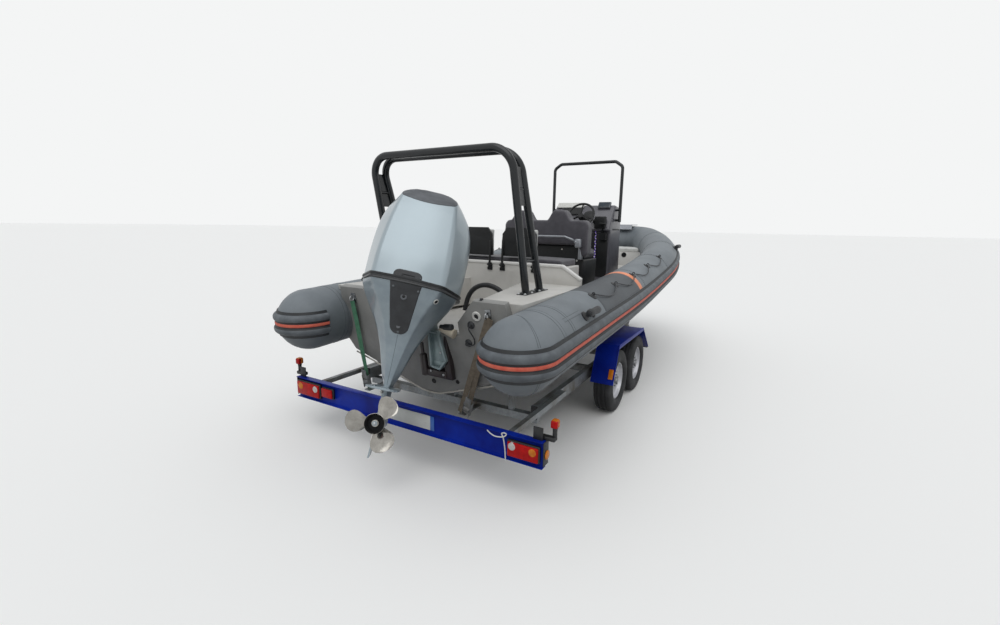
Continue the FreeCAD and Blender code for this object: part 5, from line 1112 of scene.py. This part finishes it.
def lens(name, spots, mat):
    """Lenses on the board's lamps: centre and size across and up, from the outer end of each lamp."""
    bm = bmesh.new()
    for way, across, up, wide, high, deep in spots:
        at = Vector((BOARD_X - 0.022 - deep / 2, way * (1.180 - across), BOARD_Z + up))
        if high == 0:
            lathe(bm, ((0, wide), (deep * 0.6, wide), (deep * 0.9, wide * 0.88), (deep, wide * 0.6)),
                  at + Vector((deep / 2, 0, 0)), (-1, 0, 0), 32)
        else:
            block(bm, at, (deep, wide, high), min(0.006, deep * 0.45), segments=3)
    shaped(name, bm, mat)


lens("red_lenses", [(1, 0.138, 0.092, 0.280, 0.112, 0.016), (-1, 0.119, 0.086, 0.222, 0.100, 0.016),
                    (1, 0.375, 0.102, 0.126, 0.076, 0.014)], lens_red)
lens("amber_lenses", [(1, 0.048, 0.112, 0.033, 0, 0.0195), (-1, 0.046, 0.104, 0.029, 0, 0.0195)], lens_amber)
lens("clear_lenses", [(1, 0.236, 0.112, 0.031, 0, 0.0195), (-1, 0.196, 0.108, 0.029, 0, 0.0195)], lens_clear)
bm = bmesh.new()
for way in (1, -1):
    lathe(bm, ((0, 0.029), (0.003, 0.031), (0.007, 0.031), (0.010, 0.026)),
          (BOARD_X + 0.026, way * (BOARD_HALF + 0.006), BOARD_Z + 0.085), (0, way, 0), 32)
shaped("side_reflectors", bm, lens_amber)
bm = bmesh.new()
for way in (1, -1):
    block(bm, Vector((STALK_X - 0.013, way * STALK_Y, BOARD_Z + 0.297)), (0.026, 0.046, 0.050), 0.008, segments=3)
shaped("rear_marker_lenses", bm, lens_red)
bm = bmesh.new()
for way in (1, -1):
    block(bm, Vector((STALK_X + 0.013, way * STALK_Y, BOARD_Z + 0.297)), (0.026, 0.046, 0.050), 0.008, segments=3)
    block(bm, Vector((STALK_X, way * STALK_Y, BOARD_Z + 0.322)), (0.040, 0.036, 0.010), 0.004)
shaped("front_marker_lenses", bm, lens_amber)

plate_white = surface("plate_enamel", "#c9cac4", "#d8d9d4", 120, 3.0, 0.03, roughness=0.3)
plate_blue = surface("plate_end_enamel", "#2f5fae", "#3b6fc0", 60, 3.0, 0.03, roughness=0.3)
bm = bmesh.new()
block(bm, PLATE_AT - Vector((0.0035, 0, 0)), PLATE_SIZE, 0.0012)
for up in (0.051, -0.051):
    block(bm, PLATE_AT + Vector((-0.0052, 0, up)), (0.0012, PLATE_SIZE[1], 0.004), 0.0005)
for across in (0.192, -0.198):
    lathe(bm, ((0, 0.007), (0.001, 0.007), (0.003, 0.0045)), PLATE_AT + Vector((-0.005, across, 0)), (-1, 0, 0), 16)
shaped("plain_plate", bm, plate_white, replaces="number_plate")
bm = bmesh.new()
block(bm, PLATE_AT + Vector((-0.0035, -0.260, 0)), (0.0032, 0.036, PLATE_SIZE[2]), 0.0012)
shaped("plate_end", bm, plate_blue)

white_cord = surface("white_polyester_cord", "#d9d8d4", "#efeeea", 8, 0.8, 0.4, roughness=0.8)
TIE = (  # millimetres: aft of the board's lip, across, above the board's middle
    (4, -936, -4), (5, -938, 10), (3, -930, 90), (6, -918, 160), (12, -905, 180), (10, -925, 192), (4, -945, 182),
    (10, -928, 162), (12, -898, 154), (8, -850, 146), (4, -800, 166), (2, -792, 174),
)
tie = [Vector((BOARD_X - LIP - aft / 1000, across / 1000, BOARD_Z + up / 1000)) for aft, across, up in TIE]
tie_cord = spline("board_tie_cord", tie, 0.0042, white_cord)

# Road wheels: pressed steel rims in silver lacquer inside black radial tyres, with four
# grooves round the tread, worn grey sidewalls, five bolts and a pressed cap over each hub.
WHEEL_X = {"rear": 1.570, "front": 2.285}
WHEEL_Y = 1.0535
WHEEL_Z = 0.312
# half section of the tyre: millimetres outward from the wheel's middle and radius
TYRE_HALF = ((62, 179), (70, 184), (80, 194), (88, 208), (92, 226), (92, 240), (90, 256), (86, 274), (80, 290),
             (75, 300), (66, 306.5), (44, 309.5), (42, 302), (36, 302), (34, 310.6), (12, 312), (10, 303.5),
             (4, 303.5))
TYRE_SIDES = 40
# half section of the rim: rolled lip, bead seat, dished disc, hub
RIM_HALF = ((66.5, 180), (68, 176), (66, 170), (60, 167.5), (46, 165.5), (34, 160), (30, 156), (31, 150), (35, 140),
            (36, 92), (38, 80), (45, 68), (46, 52), (44, 36), (43, 33), (30, 32.5))
RIM_WELL = ((66, 177.5), (-66, 177.5), (-67, 170), (-60, 166), (-40, 152), (16, 151), (31, 150))
WINDOWS = 8               # each 7 of 12 faces wide, in this strip of the disc
WINDOW_STRIP = 9
BOLT_RING_R = 0.056
tyre_rubber, tree, bsdf = material("tyre_rubber", roughness=0.8)
where = add(tree, "TexCoord").outputs["Object"]
dust = stretched(tree, noise(tree, where, 9.0, 5.0), 0.42, 0.68)
sipes = add(tree, "TexWave", {"Vector": where, "Scale": 9.0, "Distortion": 2.5, "Detail": 1.0},
            bands_direction="DIAGONAL", wave_profile="SAW")
finish(tree, bsdf, mixed(tree, dust, "#1f2021", "#38383a"), sipes.outputs["Fac"], 0.35, 1.5)
rim_lacquer = surface("rim_lacquer", "#bdbdc1", "#d0cfd3", 120, 2.0, 0.03, metallic=0.3, roughness=0.35)
hub_steel = surface("hub_steel", "#77787a", "#8f9092", 60, 1.5, 0.1, metallic=0.7, roughness=0.45)


def turned(bm, profile, at, way, sides, spare=()):
    """A form turned round the wheel's axle: (outward, radius) in millimetres, without the spared faces."""
    rows = []
    for out, radius in profile:
        rows.append([bm.verts.new(at + Vector((radius * math.cos(t), way * out, radius * math.sin(t))) / 1000)
                     for t in (2 * math.pi * i / sides for i in range(sides))])
    for k, (a, b) in enumerate(zip(rows, rows[1:])):
        for i in range(sides):
            if (k, i) not in spare:
                bm.faces.new((a[i], a[(i + 1) % sides], b[(i + 1) % sides], b[i]))


for end, x in WHEEL_X.items():
    for side, way in SIDES:
        place = "%s_%s" % (end, side)
        body = "wheel_" + place
        at = boat(x, way * WHEEL_Y, WHEEL_Z)
        bm = bmesh.new()
        turned(bm, [(-a, r) for a, r in TYRE_HALF] + list(TYRE_HALF[::-1]), at, way, TYRE_SIDES)
        shaped("radial_tyre_" + place, bm, tyre_rubber, body, crease=38,
               replaces="tyre_" + place)
        bm = bmesh.new()
        slots = {(WINDOW_STRIP, 12 * w + i) for w in range(WINDOWS) for i in range(7)}
        turned(bm, RIM_HALF, at, way, 12 * WINDOWS, slots)
        turned(bm, RIM_WELL, at, way, 12 * WINDOWS)
        disc = shaped("pressed_rim_" + place, bm, rim_lacquer, body, crease=42,
                      replaces="rim_" + place)
        wall = disc.modifiers.new("sheet", "SOLIDIFY")
        wall.thickness = 0.003
        wall.offset = -1
        bm = bmesh.new()
        lathe(bm, ((-0.020, 0.046), (0.030, 0.046), (0.046, 0.034), (0.047, 0.030), (0.064, 0.0285), (0.070, 0.024),
                   (0.072, 0.012)), at, (0, way, 0), 32)
        for b in range(5):
            a = 2 * math.pi * b / 5 + 0.3
            lathe(bm, ((0.040, 0.012), (0.043, 0.0125), (0.048, 0.0095), (0.060, 0.0095), (0.063, 0.006)),
                  at + Vector((math.cos(a), 0, math.sin(a))) * BOLT_RING_R, (0, way, 0), 6)
        lathe(bm, ((-0.060, 0.110), (-0.052, 0.125), (-0.006, 0.128), (-0.004, 0.060)), at, (0, way, 0), 40)
        shaped("hub_and_drum_" + place, bm, hub_steel, body, crease=35)
dress(fitting_rubber, "jockey_wheel", "hull_rollers", bevel=0.002)

# Upholstery: marine vinyl stretched over foam and stapled under, crowned, its sides drawn in
# between the corners. The pads have sewn channels, and the helm's backrest a piped edge.
CLOTH_VOXEL = 0.006
CLOTH_FRAMES = 20
CLOTH_PRESSURE = 4.0
EDGE_CUTS = (0.25, 0.6, 1.0, 1.6)      # shares of the edge's radius
SEAM_CUTS = (-0.014, -0.007, -0.003, 0.0, 0.003, 0.007, 0.014)
STITCHES = ((0.005, 0.004), (0.022, 0.005))  # width and depth of the line and of the hollow round it
charcoal_vinyl = surface("charcoal_vinyl", "#3b393f", "#4a484e", 90, 0.8, 0.3, roughness=0.5, sheen_weight=0.1)
piping_vinyl = surface("piping_vinyl", "#5a585f", "#68666d", 60, 0.8, 0.2, roughness=0.5)
pale_vinyl = surface("pale_vinyl", "#c2c2bd", "#d4d4d0", 90, 0.8, 0.3, roughness=0.5, sheen_weight=0.1)


def ticks(half, radius, step, seams=()):
    """Even cuts across a pad, with closer ones at its round edges and beside its seams."""
    cuts = {-half, half}
    for share in EDGE_CUTS:
        cuts |= {-half + radius * share, half - radius * share}
    count = max(2, round(2 * half / step))
    cuts |= {-half + radius * 2.4 + (2 * half - radius * 4.8) * k / count for k in range(count + 1)}
    for seam in seams:
        cuts |= {seam + d for d in SEAM_CUTS}
    kept = []
    for cut in sorted(cuts):
        if not kept or cut - kept[-1] > 0.0015:
            kept.append(cut)
    kept[-1] = half
    return kept


def upholstered(half, radius, crown=0.012, pull=0.006, seams_x=(), seams_y=(), step=0.03):
    """A pad round its own middle, its top at +Z: rounded box with crown, drawn-in sides and seams."""
    cuts = [ticks(half[0], radius, step, seams_x), ticks(half[1], radius, step, seams_y),
            ticks(half[2], radius, max(step, half[2]))]
    bm = bmesh.new()
    made = {}

    def vert(*spot):
        if spot not in made:
            made[spot] = bm.verts.new(spot)
        return made[spot]

    for axis in range(3):
        u, v = [k for k in range(3) if k != axis]
        for end in (cuts[axis][0], cuts[axis][-1]):
            for a0, a1 in zip(cuts[u], cuts[u][1:]):
                for b0, b1 in zip(cuts[v], cuts[v][1:]):
                    corners = []
                    for a, b in ((a0, b0), (a1, b0), (a1, b1), (a0, b1)):
                        spot = [0.0, 0.0, 0.0]
                        spot[axis], spot[u], spot[v] = end, a, b
                        corners.append(vert(*spot))
                    bm.faces.new(corners)
    for v in bm.verts:
        p = v.co.copy()
        inner = Vector([max(-h + radius, min(h - radius, c)) for c, h in zip(p, half)])
        out = p - inner
        if out.length > radius * 1e-3:
            v.co = inner + out.normalized() * radius
        x, y = p.x / half[0], p.y / half[1]
        v.co.x -= math.copysign(pull * (1 - y * y) * abs(x) ** 6, p.x)
        v.co.y -= math.copysign(pull * (1 - x * x) * abs(y) ** 6, p.y)
        if p.z > 0:
            top = (1 - x ** 4) * (1 - y ** 4)
            off = [p.x - s for s in seams_x] + [p.y - s for s in seams_y]
            sunk = sum(deep * min(sum(math.exp(-(d / wide) ** 2) for d in off), 1) for wide, deep in STITCHES)
            v.co.z += (crown - sunk) * top * (p.z / half[2])
    return bm


def swollen(bm, limit):
    """Lets the foam press the cover out as cloth under pressure, no point by more than the limit."""
    data = bpy.data.meshes.new("swelling")
    bm.to_mesh(data)
    bm.free()
    work = bpy.data.objects.new("swelling", data)
    bpy.context.scene.collection.objects.link(work)
    remesh = work.modifiers.new("even", "REMESH")
    remesh.mode = "VOXEL"
    remesh.voxel_size = CLOTH_VOXEL
    even = bpy.data.meshes.new_from_object(work.evaluated_get(bpy.context.evaluated_depsgraph_get()))
    work.modifiers.clear()
    work.data = even
    start = [v.co.copy() for v in even.vertices]
    cloth = work.modifiers.new("cover", "CLOTH")
    cloth.settings.use_pressure = True
    cloth.settings.uniform_pressure_force = CLOTH_PRESSURE
    cloth.settings.effector_weights.gravity = 0.0
    cloth.settings.quality = 4
    for frame_number in range(1, CLOTH_FRAMES + 1):
        bpy.context.scene.frame_set(frame_number)
    puffed = bpy.data.meshes.new_from_object(work.evaluated_get(bpy.context.evaluated_depsgraph_get()))
    bpy.context.scene.frame_set(1)
    bm = bmesh.new()
    bm.from_mesh(puffed)
    for v, was in zip(bm.verts, start):
        moved = v.co - was
        if moved.length > limit:
            v.co = was + moved.normalized() * limit
    bpy.data.objects.remove(work)
    return bm


def seat_pad(name, at, bm, mat, replaces=None, upright=False, taper=None, cloth=0.0):
    """Places a pad made round its middle: narrowed toward one end if it tapers, or stood on edge."""
    if cloth:
        bm = swollen(bm, cloth)
    if taper:
        for v in bm.verts:
            v.co.y *= 1 - taper[1] * max(-1.0, min(1.0, v.co.x / taper[0]))
    turn = Matrix.Rotation(math.radians(90 if upright else 0), 4, "Y")
    bmesh.ops.transform(bm, matrix=Matrix.Translation(at) @ turn, verts=bm.verts)
    shaped(name, bm, mat, crease=70, replaces=replaces)


seat_pad("bench_cushion", boat(1.305, 0, 1.472),
         upholstered((0.185, 0.655, 0.031), 0.016, seams_x=(-0.06, 0.06), seams_y=(-0.22, 0.22), step=0.035),
         charcoal_vinyl, "seat_cushions")
seat_pad("helm_cushion", boat(2.497, 0, 1.494),
         upholstered((0.186, 0.445, 0.052), 0.024, 0.008, seams_y=(-0.15, 0.15), step=0.035),
         charcoal_vinyl, cloth=0.012)
seat_pad("bow_cushion", boat(5.010, 0, 1.451),
         upholstered((0.285, 0.385, 0.028), 0.016, 0.008, seams_y=(-0.13, 0.13), step=0.035),
         pale_vinyl, taper=(0.285, 0.225))
for side, way in SIDES:
    seat_pad("back_rest_pad_" + side, boat(1.128, way * 0.240, 1.658),
             upholstered((0.122, 0.172, 0.034), 0.022, 0.006, seams_y=(-0.06, 0.06), step=0.024),
             pale_vinyl, "back_rest_pads" if side == "port" else None, upright=True, cloth=0.008)

SEAT_X = 2.140 + FIT_X
BACK_HALF = 0.530
BACK_TOP = 1.882
HUMPS = (0.300, -0.175)   # middles of the two raised parts
HUMP_HALF = 0.150         # half width at the foot and at the top, and height of each
HUMP_TOP = 0.055
HUMP_RISE = 0.112
SHOULDER = 0.060          # width and depth of the rounded shoulders
SHOULDER_DROP = 0.050
ARCH_Z = 1.603            # height of the arch, where the wings begin and end, how far down they go
WING_Y = (0.430, 0.470, 0.500)
WING_DROP = 0.120


def back_top(y):
    """Height of the backrest's upper edge: level, two humps, and rounded shoulders."""
    rise = 0.0
    for hump in HUMPS:
        d = abs(y - hump)
        if d < HUMP_HALF:
            slope = max(0.0, min(1.0, (d - HUMP_TOP) / (HUMP_HALF - HUMP_TOP)))
            rise = max(rise, HUMP_RISE * (0.5 + 0.5 * math.cos(math.pi * slope)))
    return BACK_TOP + rise - SHOULDER_DROP * max(0.0, (abs(y) - BACK_HALF + SHOULDER) / SHOULDER) ** 2


def back_foot(y):
    """Height of its lower edge: an arch over the locker, with a wing down at each end."""
    inner, outer, turn = WING_Y
    down = WING_DROP * max(0.0, min(1.0, (abs(y) - inner) / (outer - inner)))
    return ARCH_Z - down + 0.040 * max(0.0, (abs(y) - turn) / 0.044) ** 2


bm = upholstered((0.0715, BACK_HALF, 0.2), 0.026, 0.0, 0.0, step=0.016)
for v in bm.verts:
    x, y, z = v.co
    share = (z + 0.2) / 0.4
    low, high = back_foot(y), back_top(y)
    bulge = math.copysign(0.006 * math.sin(math.pi * share), x) * (abs(x) > 0.05)
    v.co = Vector((SEAT_X + 0.0725 + x + bulge, y, low + share * (high - low)))
backrest = shaped("helm_backrest_cover", bm, charcoal_vinyl, crease=70, replaces="helm_backrest")
for k, x in enumerate((0.012, 0.133)):
    edge = [Vector((SEAT_X + x, y / 1000, back_top(y / 1000) - 0.006)) for y in range(-500, 501, 20)]
    edge = [Vector((SEAT_X + x, -0.526, z / 1000)) for z in range(1540, 1800, 40)] + edge
    edge += [Vector((SEAT_X + x, 0.526, z / 1000)) for z in range(1780, 1530, -40)]
    spline("backrest_piping_%d" % k, edge, 0.0038, piping_vinyl, resolution=3)

# Seat shells: black moulded bases and backs, screwed up from behind with white-capped screws, a
# pale anodised grab rail in two castings, and the feet that the stern back rests hinge on.
black_shell = surface("black_shell_moulding", "#0c0d0e", "#151719", 90, 1.5, 0.15, roughness=0.45,
                      specular_ior_level=0.35)
softened("helm_seat_base", "helm_seat_locker", black_shell, 0.014, 3)
softened("back_rests", "back_rest_shells", black_shell, 0.008, 3)
pale_anodised = surface("pale_anodised_aluminium", "#8b8e93", "#9da0a5", 60, 1.2, 0.05, metallic=0.5, roughness=0.4)
dress(pale_anodised, "helm_grab_rail", bevel=0.002)
PLATE_X = 2.215 + FIT_X
bm = bmesh.new()
for y, z in ((0.390, 1.530), (0.390, 1.428), (-0.018, 1.438), (-0.390, 1.428), (0.200, 1.552), (-0.200, 1.552)):
    lathe(bm, ((0, 0.0105), (0.002, 0.0105), (0.0055, 0.008), (0.0065, 0.004)), (PLATE_X, y, z), (-1, 0, 0), 16)
for y in (-0.045, -0.383, 0.435, 0.097):
    lathe(bm, ((0, 0.008), (0.002, 0.008), (0.005, 0.005)), boat(1.050, y, 1.418), (-1, 0, 0), 16)
shaped("white_screw_caps", bm, pale_nylon)
bm = bmesh.new()
for way in (1, -1):
    for leg in (0.070, 0.410):
        block(bm, boat(1.056, way * leg, 1.412), (0.010, 0.056, 0.058), 0.003)
        lathe(bm, ((-0.026, 0.008), (0.026, 0.008)), boat(1.048, way * leg, 1.436), (0, 1, 0), 16)
shaped("back_rest_feet", bm, black_shell)
bm = bmesh.new()
for way in (1, -1):
    block(bm, boat(2.124, way * 0.432, 1.628), (0.056, 0.070, 0.100), 0.016, segments=3)
    block(bm, boat(2.168, way * 0.445, 1.540), (0.056, 0.044, 0.190), 0.012, segments=3)
    lathe(bm, ((0, 0.020), (0.012, 0.020), (0.02, 0.014)), boat(2.112, way * 0.408, 1.642), (-0.6, -way, 0.4), 20)
shaped("grab_rail_castings", bm, pale_anodised)
pale_line = surface("pale_moulded_line", "#6d6a62", "#7c7970", 40, 1.0, 0.05, roughness=0.6)
for k, y in enumerate((0.418, -0.030)):
    turns = [2 * math.pi * i / 16 for i in range(17)]
    oval = [Vector((PLATE_X - 0.001, y + 0.085 * math.cos(t) + math.copysign(0.02, math.cos(t)),
                    1.372 + 0.022 * math.sin(t))) for t in turns]
    spline("locker_outline_%d" % k, oval, 0.0016, pale_line, resolution=3)

# Console and bow: a charcoal gelcoat moulding with a black lower panel and side trim. On its dash
# are a hooded display, the switch row, the helm's bezel and a white cover against the sun, and a
# throttle box beside it. The bow locker has a round hatch, and the step is pale anodised.
console_gelcoat = surface("charcoal_console_gelcoat", "#4d4c52", "#5c5b61", 200, 2.0, 0.05, roughness=0.38,
                          coat_weight=0.3)
softened("console", "console_moulding", console_gelcoat, 0.022, 4)
dress(black_shell, "helm_wheel", bevel=0.002)
dress(black_shell, "helm_controls", bevel=0.004)
dress(pale_anodised, "bow_step", bevel=0.003)
CONSOLE_X = 3.240 + FIT_X
DASH_FOOT = Vector((0.090, 0, 1.940))
DASH_HEAD = Vector((0.230, 0, 2.105))
SWITCHES = 6
dash_up = (DASH_HEAD - DASH_FOOT).normalized()
dash_out = Vector((-dash_up.z, 0, dash_up.x))
dash_turn = Matrix.Rotation(math.atan2(dash_up.x, dash_up.z), 4, "Y")


def on_dash(share, y, lift):
    """Point on the sloping dash: part of the way up, across, and lifted off it."""
    return Vector((CONSOLE_X, y, 0)) + DASH_FOOT + (DASH_HEAD - DASH_FOOT) * share + dash_out * lift


bm = bmesh.new()
block(bm, Vector((CONSOLE_X + 0.057, 0, 1.430)), (0.012, 0.800, 0.580), 0.004)
for way in (1, -1):
    block(bm, Vector((CONSOLE_X + 0.30, way * 0.431, 1.780)), (0.30, 0.006, 0.020), 0.003)
lathe(bm, ((0, 0.075), (0.006, 0.075), (0.012, 0.062), (0.02, 0.045)), on_dash(0.18, -0.1, 0.0), dash_out, 32)
for k in range(SWITCHES):
    block(bm, on_dash(0.16, 0.05 + 0.032 * k, 0.004), (0.010, 0.022, 0.034), 0.003, dash_turn)
shaped("console_panels", bm, black_shell)
glass = surface("display_glass", "#2b3338", "#38424a", 120, 3.0, 0.0, roughness=0.25, specular_ior_level=0.25)
hood_grey = surface("display_hood", "#5c5f62", "#6b6e71", 60, 1.5, 0.1, roughness=0.45)
bm = bmesh.new()
block(bm, on_dash(0.90, -0.284, 0.020), (0.034, 0.172, 0.100), 0.008, dash_turn, 3)
shaped("display_hood", bm, hood_grey)
bm = bmesh.new()
block(bm, on_dash(0.90, -0.284, 0.0378), (0.002, 0.150, 0.078), 0.0008, dash_turn)
shaped("display_glass", bm, glass)
bm = bmesh.new()
block(bm, on_dash(0.95, 0.205, 0.014), (0.014, 0.400, 0.090), 0.006, dash_turn, 3)
shaped("white_sun_cover", bm, pale_nylon)
bm = bmesh.new()
block(bm, Vector((CONSOLE_X + 0.020, -0.298, 1.870)), (0.070, 0.152, 0.160), 0.014, segments=3)
lathe(bm, ((0, 0.030), (0.02, 0.030), (0.026, 0.022)), (CONSOLE_X + 0.012, -0.224, 1.885), (0, 1, 0), 24)
block(bm, Vector((CONSOLE_X - 0.028, -0.345, 1.852)), (0.030, 0.090, 0.034), 0.012, segments=3)
shaped("throttle_box", bm, black_shell)
bm = bmesh.new()
BOW_X = 4.700 + FIT_X
lathe(bm, ((0, 0.040), (0.004, 0.040), (0.007, 0.034), (0.007, 0.026), (0.003, 0.024)), (BOW_X, -0.245, 1.372),
      (-1, 0, 0), 32)
lathe(bm, ((0, 0.012), (0.008, 0.012), (0.010, 0.008)), (BOW_X, 0.10, 1.360), (-1, 0, 0), 16)
shaped("bow_hatch", bm, black_shell)

# Engine stop lanyard: a short coiled strap in purple and white nylon, clipped to the switch
# beside the throttle, so that it hangs down the console's front.
lanyard_nylon, tree, bsdf = material("purple_lanyard_nylon", roughness=0.6, sheen_weight=0.3)
where = add(tree, "TexCoord").outputs["Object"]
twist = add(tree, "TexWave", {"Vector": where, "Scale": 9.0, "Distortion": 1.5, "Detail": 1.0}, bands_direction="Z")
share = stretched(tree, twist.outputs["Fac"], 0.48, 0.62)
finish(tree, bsdf, mixed(tree, share, "#5b2bb5", "#d8cfe6"))
COIL_STEPS = 24
COIL_DOWN = 0.020         # fall and turn of the coil in each step
COIL_TURN = 1.9
LOOP_END = ((0.038, -0.222, 1.330), (0.042, -0.210, 1.312), (0.044, -0.226, 1.300), (0.042, -0.242, 1.312),
            (0.038, -0.238, 1.332))
drop = [Vector((CONSOLE_X + 0.040, -0.236, 1.830))]
for k in range(1, COIL_STEPS + 1):
    turn = COIL_TURN * k
    drop.append(Vector((CONSOLE_X + 0.035 + 0.006 * math.cos(turn), -0.238 + 0.007 * math.sin(turn),
                        1.830 - COIL_DOWN * k)))
drop += [Vector((CONSOLE_X + x, y, z)) for x, y, z in LOOP_END]
lanyard = spline("stop_lanyard", drop, 0.0085, lanyard_nylon, resolution=5)

# Rigging hose: ribbed black rubber conduit over the engine's cables, from the side deck into
# the well.
hose_black = surface("black_hose_rubber", "#17181a", "#242527", 50, 1.2, 0.2, roughness=0.55)
HOSE_ROUTE = ((-0.392, 1.150), (-0.330, 1.225), (-0.250, 1.275), (-0.150, 1.295), (-0.060, 1.275), (0.010, 1.225),
              (0.060, 1.140), (0.080, 1.040))
route = [boat(0.640, y, z) for y, z in HOSE_ROUTE]
hose = spline("rigging_conduit", route, 0.0225, hose_black, resolution=12,
              replaces="rigging_hose")

# Lashing straps: woven polyester webbing from the transom eyes down to the frame, green to port,
# faded brown and doubled to starboard, each tightened by a galvanised ratchet at its foot.
strap_green = surface("green_strap_webbing", "#4a7c5e", "#5a8f70", 30, 1.5, 0.6, roughness=0.8)
strap_brown = surface("brown_strap_webbing", "#655b4d", "#7c7162", 30, 1.5, 0.6, roughness=0.8)
STRAP_W = 0.048
STRAP_STEPS = 24
STRAP_EDGE = ((-1, -1), (-0.5, -1.1), (0, -1.1), (0.5, -1.1), (1, -1), (1, 1), (0.5, 1.1), (0, 1.1), (-0.5, 1.1),
              (-1, 1))
for name, eye_y, lug_y, mat in (("port", 0.660, 0.700, strap_green), ("starboard", -0.690, -0.365, strap_brown),
                                ("return", -0.672, -0.300, strap_brown)):
    top = at_transom(eye_y, 1.187, 0.030)
    foot = boat(0.020, lug_y, 0.345)
    run = foot - top
    across = run.cross(Vector((1, 0, 0))).normalized()
    out = across.cross(run).normalized()
    rings = []
    for k in range(STRAP_STEPS + 1):
        t = k / STRAP_STEPS
        middle = top + run * t + out * (0.004 * math.sin(math.pi * t) + 0.0015 * math.sin(9 * t))
        twist = 0.10 * math.sin(5 * t)
        wide = across * math.cos(twist) + out * math.sin(twist)
        rings.append([middle + wide * (STRAP_W / 2 * u) + out * (0.0012 * s) for u, s in STRAP_EDGE])
    strap = shaped("lashing_strap_" + name, loft(rings, closed=True, ends=True), mat, crease=50,
                   replaces="lashing_straps" if name == "port" else None)
    if name == "return":  # the second run of the starboard strap
        continue
    bm = bmesh.new()
    square = Matrix((across, run.normalized(), out)).transposed().to_4x4()
    low = top + run * (0.90 if name == "port" else 0.93)
    for edge in (-0.031, 0.031):
        block(bm, low + across * edge - out * 0.010, (0.003, 0.130, 0.040), 0.0012, square)
    for along in (-0.045, 0.0, 0.040):
        lathe(bm, ((-0.034, 0.008), (0.034, 0.008)), low + run.normalized() * along - out * 0.012, across, 16)
    lathe(bm, ((-0.026, 0.020), (-0.022, 0.022), (0.022, 0.022), (0.026, 0.020)), low - out * 0.012, across, 20)
    block(bm, low - run.normalized() * 0.075 - out * 0.026, (0.056, 0.090, 0.004), 0.0015, square)
    shaped("strap_ratchet_" + name, bm, spangle_zinc, crease=40)
